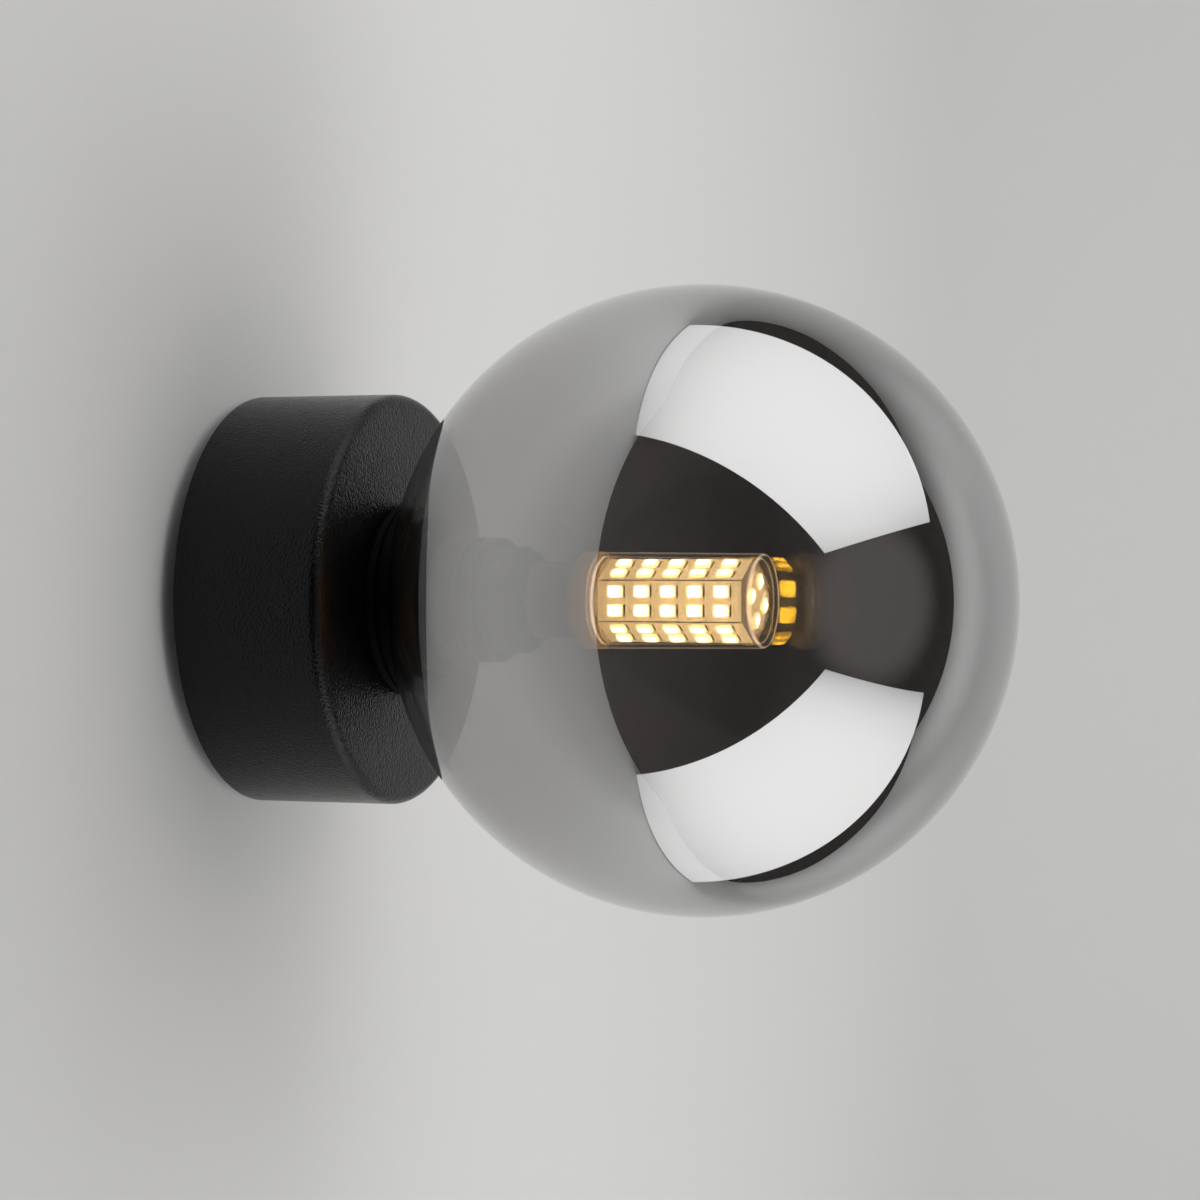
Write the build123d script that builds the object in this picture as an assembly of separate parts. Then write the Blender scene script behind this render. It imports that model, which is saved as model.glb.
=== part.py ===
from build123d import *
from math import cos, hypot, radians, sin, sqrt, tan
import os

os.makedirs("parts", exist_ok=True)

# Globe wall sconce. Sizes are in millimetres.
# The lamp's axis is level and comes straight out of the wall along -Y, with +Z up.
# "Out" is the distance in front of the wall, so a point on the object is (x, -out, z).

# ---- Driving sizes: base housing ---------------------------------------------------------
base_d = 94.0            # round metal base, outside
base_depth = 35.0        # wall to the base's front face
shell_t = 2.0            # wall of the housing
shoulder_r = 2.3         # rounded front edge of the housing
inner_corner_r = 1.0     # the same edge on the inside

# ---- Driving sizes: side screws that hold the housing to its plate -----------------------
side_screw_out = 8.6     # height of the screws above the wall
side_screw_d = 3.5
side_screw_len = 8.0
side_head_d = 6.7
side_head_h = 1.9
side_head_sink = 0.15    # how far the head sits below the surface
side_recess_len = 4.0    # cross recess
side_recess_w = 0.9
side_recess_depth = 1.1

# ---- Driving sizes: mounting plate on the wall -------------------------------------------
plate_t = 1.5
plate_gap = 0.4          # plate edge to the housing's inside
tab_w = 14.0             # bent tabs that the side screws bite in
tab_gap = 0.3            # tab corners to the housing's inside
tab_above_screw = 5.0    # tab metal beyond the screw's axis
tab_corner_r = 3.0
tab_heel_r = 1.35        # outside of the bend
wall_slot_pitch = 60.0   # between the two wall screws
wall_slot_len = 12.0
wall_slot_w = 4.6

# ---- Driving sizes: cable grommet --------------------------------------------------------
cable_d = 9.0            # bore for the supply cable
grommet_wall = 5.1
grommet_flange_w = 2.9
grommet_flange_t = 2.0
grommet_edge_r = 0.8

# ---- Driving sizes: lampholder -----------------------------------------------------------
insert_d = 24.0          # ceramic insert
insert_reach = 32.3      # its front face, in front of the base
insert_chamfer = 1.4
insert_foot_w = 1.0      # shoulder that stops it in the sleeve
insert_foot_t = 3.0
sleeve_wall = 2.0
sleeve_chamfer = 0.4
sleeve_reach = 24.6      # end of the threaded sleeve, in front of the base
sleeve_tail = 7.0        # threaded part behind the base's front wall
flange_w = 2.35          # sleeve flange on the base's front face
flange_t = 1.2
lock_washer_t = 1.0
lock_washer_w = 4.0
lock_washer_slit = 1.2
lock_nut_t = 4.0
lock_nut_w = 5.0
lock_notches = 6
lock_notch_w = 2.5
lock_notch_depth = 1.5
cap_t = 3.0              # cover on the lampholder's back
cap_spigot_t = 1.9
cap_edge_r = 1.0

# ---- Driving sizes: two-pin contacts and leads -------------------------------------------
pin_pitch = 9.0          # between the bulb's two pins
pin_wire_d = 0.7         # each pin is a loop of this wire
pin_loop_w = 2.2         # between the two legs of a loop
pin_len = 9.5            # below the bulb's foot
pin_tail = 0.7           # above the floor inside the bulb
leaf_t = 0.35
leaf_w = 3.6
leaf_len = 14.0
leaf_lip = 0.5           # how far the contact's mouth flares
contact_room = 1.0       # slot width beyond the contact
lead_d = 2.0             # insulated leads from the lampholder
earth_lead_d = 2.2
lead_turn_out = 1.5      # height above the terminal tubes at which the leads turn down
lead_run_in = 4.0        # straight run into the terminal block
lead_grip = 7.0          # length inside the terminal block
bend_share = 0.45        # of the shorter run that a bend takes up

# ---- Driving sizes: terminal block, below the lampholder ---------------------------------
pole_pitch = 9.0
pole_count = 3
block_depth = 16.0       # along the wires
block_base_h = 9.5
tower_h = 3.6
tower_d = 6.6
tower_pitch = 8.0
block_to_screw = 2.85    # block's lower end to the tip of the lower side screw
block_corner_r = 1.5
tube_d = 4.4
tube_bore = 2.8
tube_inset = 0.6         # tube end behind the block's face
tube_out = 5.5           # tube axis above the plate
clamp_screw_d = 2.7
clamp_screw_len = 4.6
clamp_slot_w = 0.5
clamp_slot_depth = 0.7
block_screw_d = 3.0
block_screw_head_d = 5.4
block_screw_head_h = 2.0
block_screw_cover = 0.3  # plastic between the brass tubes and the fixing screw's head

# ---- Driving sizes: pan-head screws, as shares of the head -------------------------------
pan_edge_share = 0.4     # rounded edge, of its height
pan_slot_share = 0.14    # slot width, of its diameter
pan_depth_share = 0.4    # slot depth, of its height

# ---- Driving sizes: earth terminal -------------------------------------------------------
earth_x = -19.0
earth_z = 8.0
earth_boss_d = 8.0
earth_boss_h = 2.0
earth_screw_d = 4.0
earth_head_d = 7.6
earth_head_h = 2.4
earth_washer_d = 8.6
earth_washer_t = 0.6
earth_teeth = 12
earth_tooth_gap_d = 1.0
lug_t = 0.8
lug_d = 8.0
lug_barrel_len = 6.0
lug_barrel_wall = 0.4
lug_tongue_w = 2.6
lug_overlap = 1.2        # tongue under the barrel
earth_drop = 4.0         # earth lead's straight run below the lug

# ---- Driving sizes: glass globe and its threaded collar ----------------------------------
globe_d = 140.0
glass_t = 2.5
rim_w = 1.0              # flat ground rim of the glass mouth
mouth_edge_r = 0.6       # polished edge inside the mouth
seal_t = 1.5             # rubber ring between collar and base
seal_inset = 0.3         # seal edge inside the collar's flange
collar_flange_t = 3.3    # flange that the glass rim stands on
collar_flange_w = 7.45
collar_spigot_len = 2.3  # part that fills the glass mouth
collar_spigot_w = 4.75
collar_lip_len = 4.1     # slim part that looks into the globe
collar_lip_w = 1.65
collar_edge_r = 0.6
collar_seat_gap = 0.1

# ---- Driving sizes: LED bulb -------------------------------------------------------------
bulb_neck_d = 17.2
bulb_neck_len = 11.1
bulb_foot_edge_r = 0.8
bulb_shell_t = 1.6
bulb_floor_t = 3.0
cup_len = 4.7            # milky cup below the clear cover
cup_step = 0.13          # cup stands this much outside the cover
cup_edge_r = 1.2
rim_len = 1.9            # spigot that carries cover and boards
board_w = 9.3            # six boards make a six-sided lamp
board_len = 33.4
board_t = 1.0
board_gap = 0.3          # dark seam between two boards
led_w = 2.8
led_len = 3.5
led_h = 0.7
led_column_pitch = 4.22
led_row_pitch = 6.2
led_rows = 5
led_first_row = 4.1      # from the boards' back end
end_led_pitch = 6.2
end_led_turn = 30.0      # degrees, in line with two sides of the six
cover_t = 0.95
cover_end_t = 1.0
cover_draft = 0.5        # degrees
cover_edge_r = 0.9
cover_gap = 0.12         # LEDs to the cover's inside at its front
cover_end_gap = 0.4
gate_d = 1.6             # moulding mark on the cover's end
gate_h = 0.2
driver_w = 11.0
driver_t = 1.2
driver_len = 37.0
capacitor_d = 5.2
capacitor_len = 14.0
capacitor_edge_r = 0.5
parts_start = 5.5        # first part on the driver board, above the bulb's floor
chip_sizes = [(1.6, 5.0, 6.0), (1.5, 4.0, 5.0), (2.6, 6.0, 6.0)]  # height, length, width
chip_gap = 2.5

# ---- Clearances --------------------------------------------------------------------------
fit_gap = 0.1            # pieces that are fastened together
wall_gap = 0.2           # screw tips to the wall
shaft_gap = 0.05         # screw in its hole
insert_gap = 0.25        # insert in sleeve
hole_gap = 0.2           # sleeve in the base's hole
thread_gap = 0.3         # collar over sleeve
ring_gap = 0.4           # seal round the sleeve's flange
glue_gap = 0.3           # collar in the glass mouth
seat_gap = 0.2           # bulb's foot over the insert
pin_gap = 0.12           # contact leaf to pin

# ---- Worked-out sizes --------------------------------------------------------------------
base_r = base_d / 2
case_r = base_r - shell_t
case_front = base_depth - shell_t

insert_r = insert_d / 2
sleeve_bore_r = insert_r + insert_gap
sleeve_r = sleeve_bore_r + sleeve_wall
sleeve_back = case_front - sleeve_tail
sleeve_front = base_depth + sleeve_reach
flange_r = sleeve_r + flange_w
insert_back = sleeve_back + cap_spigot_t + fit_gap
insert_front = base_depth + insert_reach
foot_r = insert_r + insert_foot_w

collar_bore_r = sleeve_r + thread_gap
collar_r = collar_bore_r + collar_flange_w
spigot_r = collar_bore_r + collar_spigot_w
lip_r = collar_bore_r + collar_lip_w
mouth_r = spigot_r + glue_gap
rim_r = mouth_r + rim_w
seal_front = base_depth + seal_t
collar_back = seal_front + collar_seat_gap
rim_out = collar_back + collar_flange_t
ball_r = globe_d / 2
ball_bore_r = ball_r - glass_t
ball_out = rim_out + sqrt(ball_r**2 - rim_r**2)

bulb_foot = insert_front + seat_gap
cup_back = bulb_foot + bulb_neck_len
cup_front = cup_back + cup_len
board_back = cup_front + rim_len
board_front = board_back + board_len
end_board_front = board_front + board_t
cover_end = end_board_front + led_h + cover_end_gap + cover_end_t
board_apothem = board_w * cos(radians(30))
led_corner_r = hypot(board_apothem + led_h, led_column_pitch / 2 + led_w / 2)
cover_bore_front_r = max(led_corner_r, board_w) + cover_gap
cover_bore_back_r = cover_bore_front_r + (cover_end - cup_front) * tan(radians(cover_draft))
cover_back_r = cover_bore_back_r + cover_t
cup_r = cover_back_r + cup_step

pin_x = pin_pitch / 2
leaf_offset = pin_wire_d / 2 + pin_gap
slot_w = leaf_w + contact_room
slot_h = 2 * (leaf_offset + leaf_t + leaf_lip) + 2 * fit_gap
slot_bottom = insert_front - leaf_len - 2 * fit_gap - leaf_t

tube_axis = plate_t + tube_out
block_bottom = base_r - side_head_sink - side_screw_len - block_to_screw
block_top = block_bottom - block_depth
block_centre_z = -block_top - block_depth / 2
block_w = pole_count * pole_pitch
block_base_top = plate_t + block_base_h
tower_top = block_base_top + tower_h
pole_xs = [pole_pitch * (i - (pole_count - 1) / 2) for i in range(pole_count)]

# ---- Shared helpers ----------------------------------------------------------------------
LAMP_AXIS = Axis((0, 0, 0), (0, -1, 0))
RADIAL = Plane(origin=(0, 0, 0), x_dir=(1, 0, 0), z_dir=(0, 0, -1))


def across(out):
    """Plane parallel to the wall: local x is +X, local y is +Z, facing the room."""
    return Plane(origin=(0, -out, 0), x_dir=(1, 0, 0), z_dir=(0, -1, 0))


def turned(*outline):
    """Solid of revolution about the lamp's axis from (radius, out) corners."""
    face = make_face(Polyline(*outline, close=True))
    return revolve(RADIAL * face, axis=LAMP_AXIS)


def ring(inner, outer, back, front):
    """Plain ring about the lamp's axis."""
    return turned((inner, back), (outer, back), (outer, front), (inner, front))


def rod(x, z, radius, back, front):
    """Cylinder that points out of the wall."""
    body = Cylinder(radius, front - back)
    return Pos(x, -(back + front) / 2, z) * Rot(90, 0, 0) * body


def bar(x, z, radius, z_end):
    """Cylinder at the terminal block's wire height, from z to z_end."""
    body = Cylinder(radius, abs(z_end - z))
    return Pos(x, -tube_axis, (z + z_end) / 2) * body


def slab(x, z, back, front, width, height):
    """Box of width along X and height along Z, from back to front."""
    return Pos(x, -(back + front) / 2, z) * Box(width, front - back, height)


def circles_at(shape, radius, out):
    """Round edges about the lamp's axis with a given radius and distance from the wall."""
    found = []
    for edge in shape.edges().filter_by(GeomType.CIRCLE):
        level = abs(edge.arc_center.Y + out) < 0.01
        if level and abs(edge.radius - radius) < 0.01:
            found.append(edge)
    return found


def wire(points, radii, diameter):
    """Round wire along straight runs joined by tangent arcs."""
    path = FilletPolyline(*points, radius=radii)
    start = Plane(path @ 0, z_dir=path % 0)
    return sweep(start * Circle(diameter / 2), path=path)


def run_radii(points):
    """Bend radius at each inner point: bend_share of the shorter run over tan(half the turn)."""
    radii = []
    for before, here, after in zip(points, points[1:], points[2:]):
        run_in = Vector(*here) - Vector(*before)
        run_out = Vector(*after) - Vector(*here)
        half_turn = radians(run_in.get_angle(run_out)) / 2
        shorter = min(run_in.length, run_out.length)
        radii.append(bend_share * shorter / tan(half_turn))
    return radii


def pan_screw(head_d, head_h, shank_d, length):
    """Pan-head screw that points up +Z, with the underside of its head at the origin."""
    shank = Pos(0, 0, -length / 2) * Cylinder(shank_d / 2, length)
    head = Pos(0, 0, head_h / 2) * Cylinder(head_d / 2, head_h)
    head = fillet(head.edges().group_by(Axis.Z)[-1], head_h * pan_edge_share)
    screw = shank + head
    slot = Pos(0, 0, head_h) * Box(head_d, head_d * pan_slot_share, 2 * head_h * pan_depth_share)
    return screw - slot


# ---- Base housing and the plate behind it ------------------------------------------------
def side_screw():
    """Countersunk cross-head screw that points up +Z, with the top of its head at the origin."""
    cone = Pos(0, 0, -side_head_h / 2) * Cone(side_screw_d / 2, side_head_d / 2, side_head_h)
    shank = Pos(0, 0, -side_screw_len / 2) * Cylinder(side_screw_d / 2, side_screw_len)
    screw = cone + shank
    for turn in (0, 90):
        recess = Box(side_recess_len, side_recess_w, 2 * side_recess_depth)
        screw -= Rot(0, 0, turn) * recess
    return screw


def side_screw_places():
    """The two screw seats, straight above and straight below the lamp's axis."""
    reach = base_r - side_head_sink
    above = Pos(0, -side_screw_out, reach)
    below = Pos(0, -side_screw_out, -reach) * Rot(0, 180, 0)
    return [above, below]


def base_housing():
    """Turned metal cup: side wall, flat front and a rounded shoulder, with screw seats."""
    hole_r = sleeve_r + hole_gap
    cup = turned(
        (hole_r, case_front), (case_r, case_front), (case_r, 0), (base_r, 0),
        (base_r, base_depth), (hole_r, base_depth),
    )
    cup = fillet(circles_at(cup, base_r, base_depth), shoulder_r)
    cup = fillet(circles_at(cup, case_r, case_front), inner_corner_r)
    sink_depth = side_head_h + side_head_sink
    hole_radius = side_screw_d / 2 + fit_gap
    mouth_radius = side_head_d / 2 + fit_gap + side_head_sink
    seat = Cone(hole_radius, mouth_radius, sink_depth)
    seat = Pos(0, 0, side_head_sink - sink_depth / 2) * seat
    hole = Pos(0, 0, -side_screw_len / 2) * Cylinder(hole_radius, side_screw_len)
    for place in side_screw_places():
        cup -= place * (seat + hole)
    return cup


def tab_face():
    """Distance of a tab's outer face from the lamp's axis, so its corners clear the housing."""
    return sqrt((case_r - tab_gap) ** 2 - (tab_w / 2) ** 2)


def mounting_plate():
    """Sheet-metal disc with two bent tabs, wall slots, cable hole and an earth boss."""
    face = tab_face()
    tab_front = side_screw_out + tab_above_screw
    disc = rod(0, 0, case_r - plate_gap, 0, plate_t)
    plate = disc & slab(0, 0, 0, plate_t, base_d, 2 * (face - plate_t))
    for side in (1, -1):
        tab = slab(0, side * (face - plate_t / 2), 0, tab_front, tab_w, plate_t)
        corners = tab.edges().filter_by(Axis.Z).group_by(Axis.Y)[0]
        tab = fillet(corners, tab_corner_r)
        heel = tab.edges().filter_by(Axis.X).group_by(Axis.Y)[-1].sort_by(Axis.Z)
        tab = fillet(heel[-1 if side > 0 else 0], tab_heel_r)
        plate += tab
        screw_hole = Pos(0, -side_screw_out, side * face)
        plate -= screw_hole * Cylinder(side_screw_d / 2 + shaft_gap, 4 * plate_t)
    for x in (wall_slot_pitch / 2, -wall_slot_pitch / 2):
        slot = Pos(x, 0) * SlotOverall(wall_slot_len, wall_slot_w)
        plate -= extrude(across(0) * slot, plate_t)
    plate -= rod(0, 0, cable_d / 2 + grommet_wall + fit_gap, 0, plate_t)
    plate += rod(earth_x, earth_z, earth_boss_d / 2, plate_t, plate_t + earth_boss_h)
    plate -= rod(earth_x, earth_z, earth_screw_d / 2 + shaft_gap, 0, plate_t + earth_boss_h)
    plate -= rod(block_screw_x(), block_centre_z, block_screw_d / 2 + shaft_gap, 0, plate_t)
    return plate


def side_screws():
    """Both side screws."""
    return [place * side_screw() for place in side_screw_places()]


def cable_grommet():
    """Rubber bush in the plate's cable hole, with a flange on the room side."""
    bore_r = cable_d / 2
    body_r = bore_r + grommet_wall
    flange_front = plate_t + grommet_flange_t
    bush = turned(
        (bore_r, 0), (body_r, 0), (body_r, plate_t), (body_r + grommet_flange_w, plate_t),
        (body_r + grommet_flange_w, flange_front), (bore_r, flange_front),
    )
    return fillet(circles_at(bush, body_r + grommet_flange_w, flange_front), grommet_edge_r)


# ---- Lampholder --------------------------------------------------------------------------
def threaded_sleeve():
    """Tube with a flange that clamps the front wall; the collar's thread runs along it."""
    foot_bore_r = foot_r + insert_gap
    foot_end = insert_back + insert_foot_t + fit_gap
    sleeve = turned(
        (foot_bore_r, sleeve_back), (sleeve_r, sleeve_back), (sleeve_r, base_depth),
        (flange_r, base_depth), (flange_r, base_depth + flange_t),
        (sleeve_r, base_depth + flange_t), (sleeve_r, sleeve_front),
        (sleeve_bore_r, sleeve_front), (sleeve_bore_r, foot_end), (foot_bore_r, foot_end),
    )
    return chamfer(circles_at(sleeve, sleeve_r, sleeve_front), sleeve_chamfer)


def lock_washer():
    """Split spring washer behind the front wall."""
    inner = sleeve_r + hole_gap
    outer = inner + lock_washer_w
    back = case_front - lock_washer_t
    washer = ring(inner, outer, back, case_front)
    return washer - slab(outer, 0, back, case_front, 4 * lock_washer_w, lock_washer_slit)


def lock_nut():
    """Round nut with spanner notches, screwed on the sleeve from behind."""
    front = case_front - lock_washer_t
    back = front - lock_nut_t
    inner = sleeve_r + shaft_gap
    outer = sleeve_r + lock_nut_w
    nut = ring(inner, outer, back, front)
    for i in range(lock_notches):
        notch = slab(outer, 0, back, front, 2 * lock_notch_depth, lock_notch_w)
        nut -= Rot(0, i * 360 / lock_notches, 0) * notch
    return nut


def lampholder_insert():
    """Ceramic body with a stepped foot, two contact slots and two lead holes."""
    foot_front = insert_back + insert_foot_t
    body = turned(
        (0, insert_back), (foot_r, insert_back), (foot_r, foot_front), (insert_r, foot_front),
        (insert_r, insert_front - insert_chamfer),
        (insert_r - insert_chamfer, insert_front), (0, insert_front),
    )
    for x in (pin_x, -pin_x):
        body -= slab(x, 0, slot_bottom, insert_front, slot_w, slot_h)
        body -= rod(x, 0, lead_d / 2 + hole_gap, insert_back, slot_bottom)
    return body


def holder_contacts():
    """Two sprung clips: a folded strip whose two leaves grip a pin, with flared mouths."""
    bottom = slot_bottom + fit_gap
    top = bottom + leaf_t + leaf_len
    inner = leaf_offset
    outer = leaf_offset + leaf_t
    knee = top - 3 * leaf_lip
    right = [
        (0, bottom), (outer, bottom), (outer, knee), (outer + leaf_lip, top),
        (inner + leaf_lip, top), (inner, knee), (inner, bottom + leaf_t), (0, bottom + leaf_t),
    ]
    left = [(-offset, out) for offset, out in reversed(right[1:-1])]
    outline = make_face(Polyline(*right, *left, close=True))
    side_on = Plane(origin=(0, 0, 0), x_dir=(0, 0, 1), z_dir=(1, 0, 0))
    clips = []
    for x in (pin_x, -pin_x):
        strip = extrude(side_on * outline, leaf_w / 2, both=True)
        clips.append(Pos(x, 0, 0) * strip)
    return clips


def holder_cap():
    """Moulded cover on the lampholder's back, with a spigot and two lead holes."""
    cap_r = sleeve_r - insert_gap
    cap_back = sleeve_back - cap_t
    cap_front = sleeve_back + cap_spigot_t
    cap = turned(
        (0, cap_back), (cap_r, cap_back), (cap_r, sleeve_back), (foot_r, sleeve_back),
        (foot_r, cap_front), (0, cap_front),
    )
    cap = fillet(circles_at(cap, cap_r, cap_back), cap_edge_r)
    for x in (pin_x, -pin_x):
        cap -= rod(x, 0, lead_d / 2 + hole_gap, cap_back, cap_front)
    return cap


# ---- Wiring ------------------------------------------------------------------------------
def holder_lead(start_x, pole_x):
    """Insulated lead from a contact, back out of the lampholder and down into the block."""
    points = [
        (start_x, fit_gap - slot_bottom, 0),
        (start_x, -tube_axis - lead_turn_out, 0),
        (pole_x, -tube_axis, -block_top + lead_run_in),
        (pole_x, -tube_axis, -block_top - lead_grip),
    ]
    radii = run_radii(points)
    print("lead bend radii", [round(r, 1) for r in radii])
    return wire(points, radii, lead_d)


def earth_wire():
    """Green and yellow lead from the block's earth pole to the lug on the plate."""
    barrel_end = earth_z - lug_d / 2 - lug_barrel_len
    pole_x = pole_xs[0]
    points = [
        (earth_x, -barrel_axis_out(), barrel_end + lug_barrel_len / 2),
        (earth_x, -barrel_axis_out(), barrel_end - earth_drop),
        (pole_x, -tube_axis, -block_top + lead_run_in),
        (pole_x, -tube_axis, -block_top - lead_grip),
    ]
    radii = run_radii(points)
    print("earth lead bend radii", [round(r, 1) for r in radii])
    return wire(points, radii, earth_lead_d)


def block_screw_x():
    """The block's fixing screw stands between its second and third poles."""
    return (pole_xs[1] + pole_xs[2]) / 2


def block_screw_seat():
    """Height of the plastic that the fixing screw's head presses on."""
    return tube_axis + tube_d / 2 + block_screw_cover


def terminal_block():
    """Moulded strip with two screw towers to each pole and a fixing hole."""
    body = slab(0, block_centre_z, plate_t, block_base_top, block_w, block_depth)
    body = fillet(body.edges().filter_by(Axis.Y), block_corner_r)
    for x in pole_xs:
        for side in (0.5, -0.5):
            z = block_centre_z + side * tower_pitch
            body += rod(x, z, tower_d / 2, block_base_top, tower_top)
    for x in pole_xs:
        body -= bar(x, -block_top, tube_d / 2 + fit_gap, -block_top - block_depth)
        for side in (0.5, -0.5):
            z = block_centre_z + side * tower_pitch
            body -= rod(x, z, clamp_screw_d / 2 + hole_gap, tube_axis, tower_top)
    hole_x = block_screw_x()
    floor_top = block_screw_seat()
    body -= rod(hole_x, block_centre_z, block_screw_d / 2 + hole_gap, plate_t, floor_top)
    head_hole = block_screw_head_d / 2 + hole_gap
    body -= rod(hole_x, block_centre_z, head_hole, floor_top, block_base_top)
    return body


def terminal_tubes():
    """Brass tubes that join the wires, one to each pole."""
    tubes = []
    start = -block_top - tube_inset
    end = -block_top - block_depth + tube_inset
    for x in pole_xs:
        tube = bar(x, start, tube_d / 2, end) - bar(x, start, tube_bore / 2, end)
        for side in (0.5, -0.5):
            z = block_centre_z + side * tower_pitch
            tube -= rod(x, z, clamp_screw_d / 2 + shaft_gap, tube_axis, tube_axis + tube_d)
        tubes.append(tube)
    return tubes


def terminal_screws():
    """Slotted clamping screws, two to each pole."""
    screws = []
    tip = tube_axis + max(lead_d, earth_lead_d) / 2 + fit_gap
    top = tip + clamp_screw_len
    for x in pole_xs:
        for side in (0.5, -0.5):
            z = block_centre_z + side * tower_pitch
            screw = rod(x, z, clamp_screw_d / 2, tip, top)
            slot = slab(x, z, top - clamp_slot_depth, top, clamp_screw_d, clamp_slot_w)
            screws.append(screw - slot)
    return screws


def block_screw():
    """Screw that fixes the terminal block to the plate."""
    under_head = block_screw_seat()
    length = under_head - wall_gap
    screw = pan_screw(block_screw_head_d, block_screw_head_h, block_screw_d, length)
    return Pos(block_screw_x(), -under_head, block_centre_z) * Rot(90, 0, 0) * screw


def lug_back():
    """Height of the earth lug's underside above the wall."""
    return plate_t + earth_boss_h + earth_washer_t


def barrel_axis_out():
    """Height of the lug's barrel above the wall: its bore lies on the lug's underside."""
    return lug_back() + lug_barrel_wall + shaft_gap + earth_lead_d / 2


def earth_washer():
    """Toothed washer under the earth lug."""
    back = plate_t + earth_boss_h
    washer = rod(earth_x, earth_z, earth_washer_d / 2, back, back + earth_washer_t)
    washer -= rod(earth_x, earth_z, earth_screw_d / 2 + hole_gap, back, back + earth_washer_t)
    for i in range(earth_teeth):
        spoke = radians(i * 360 / earth_teeth)
        x = earth_x + cos(spoke) * earth_washer_d / 2
        z = earth_z + sin(spoke) * earth_washer_d / 2
        washer -= rod(x, z, earth_tooth_gap_d / 2, back, back + earth_washer_t)
    return washer


def earth_lug():
    """Ring lug with a crimped barrel round the earth lead."""
    back = lug_back()
    front = back + lug_t
    bore_r = earth_lead_d / 2 + shaft_gap
    tongue_len = lug_d / 2 + lug_overlap
    middle = Pos(earth_x, -barrel_axis_out(), earth_z - (lug_d + lug_barrel_len) / 2)
    lug = rod(earth_x, earth_z, lug_d / 2, back, front)
    lug += slab(earth_x, earth_z - tongue_len / 2, back, front, lug_tongue_w, tongue_len)
    lug += middle * Cylinder(bore_r + lug_barrel_wall, lug_barrel_len)
    lug -= middle * Cylinder(bore_r, lug_barrel_len)
    lug -= rod(earth_x, earth_z, earth_screw_d / 2 + hole_gap, back, front)
    return lug


def earth_screw():
    """Screw of the earth terminal, in the plate's boss."""
    under_head = lug_back() + lug_t
    length = under_head - wall_gap
    screw = pan_screw(earth_head_d, earth_head_h, earth_screw_d, length)
    return Pos(earth_x, -under_head, earth_z) * Rot(90, 0, 0) * screw


# ---- Globe -------------------------------------------------------------------------------
def globe_glass():
    """Blown ball with a ground mouth: one outline of two arcs, turned about the lamp's axis."""
    inner_join = ball_out - sqrt(ball_bore_r**2 - mouth_r**2)
    outside = ThreePointArc((0, ball_out + ball_r), (ball_r, ball_out), (rim_r, rim_out))
    inside = ThreePointArc(
        (mouth_r, inner_join), (ball_bore_r, ball_out), (0, ball_out + ball_bore_r))
    mouth = Polyline((rim_r, rim_out), (mouth_r, rim_out), (mouth_r, inner_join))
    pole = Line((0, ball_out + ball_bore_r), (0, ball_out + ball_r))
    outline = make_face(outside + mouth + inside + pole)
    glass = revolve(RADIAL * outline, axis=LAMP_AXIS)
    return fillet(circles_at(glass, mouth_r, inner_join), mouth_edge_r)


def globe_collar():
    """Threaded collar glued to the glass: flange, spigot in the mouth and a slim inner lip."""
    step = rim_out + collar_spigot_len
    front = step + collar_lip_len
    collar = turned(
        (collar_bore_r, collar_back), (collar_r, collar_back), (collar_r, rim_out),
        (spigot_r, rim_out), (spigot_r, step), (lip_r, step),
        (lip_r, front), (collar_bore_r, front),
    )
    collar = fillet(circles_at(collar, spigot_r, step), collar_edge_r)
    return fillet(circles_at(collar, lip_r, front), collar_edge_r)


def glass_seal():
    """Rubber ring between the collar and the base."""
    return ring(flange_r + ring_gap, collar_r - seal_inset, base_depth, seal_front)


# ---- Bulb --------------------------------------------------------------------------------
def facet_angles():
    """Directions that the six boards face, in degrees from +X towards +Z."""
    return [60 * i for i in range(6)]


def on_facet(angle, shape):
    """Turn a shape that faces +X so that it faces the given direction."""
    return Rot(0, -angle, 0) * shape


def bulb_base():
    """Moulded base: foot with pin holes, neck, milky cup and the rim that carries the cover."""
    neck = bulb_neck_d / 2
    cavity = neck - bulb_shell_t
    rim = cover_bore_back_r - fit_gap
    floor_top = bulb_foot + bulb_floor_t
    base = turned(
        (0, bulb_foot), (neck, bulb_foot), (neck, cup_back), (cup_r, cup_back),
        (cup_r, cup_front), (rim, cup_front), (rim, board_back), (cavity, board_back),
        (cavity, floor_top), (0, floor_top),
    )
    base = fillet(circles_at(base, cup_r, cup_back), cup_edge_r)
    base = fillet(circles_at(base, neck, bulb_foot), bulb_foot_edge_r)
    for x in pin_leg_xs():
        base -= rod(x, 0, pin_wire_d / 2 + shaft_gap, bulb_foot, floor_top)
    return base


def pin_leg_xs():
    """The four wire legs of the two looped pins."""
    legs = []
    for centre in (pin_x, -pin_x):
        legs += [centre - pin_loop_w / 2, centre + pin_loop_w / 2]
    return legs


def bulb_pins():
    """Two looped wire pins: legs through the foot, joined by a half turn."""
    loops = []
    loop_r = pin_loop_w / 2
    leg_top = bulb_foot + bulb_floor_t + pin_tail
    turn_out = bulb_foot - pin_len + loop_r + pin_wire_d / 2
    for x in (pin_x, -pin_x):
        left = x - loop_r
        right = x + loop_r
        down = Line((left, -leg_top, 0), (left, -turn_out, 0))
        low = turn_out - loop_r
        turn = ThreePointArc((left, -turn_out, 0), (x, -low, 0), (right, -turn_out, 0))
        up = Line((right, -turn_out, 0), (right, -leg_top, 0))
        path = Wire([down.edge(), turn.edge(), up.edge()])
        start = Plane(path @ 0, z_dir=path % 0)
        loops.append(sweep(start * Circle(pin_wire_d / 2), path=path))
    return loops


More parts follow.
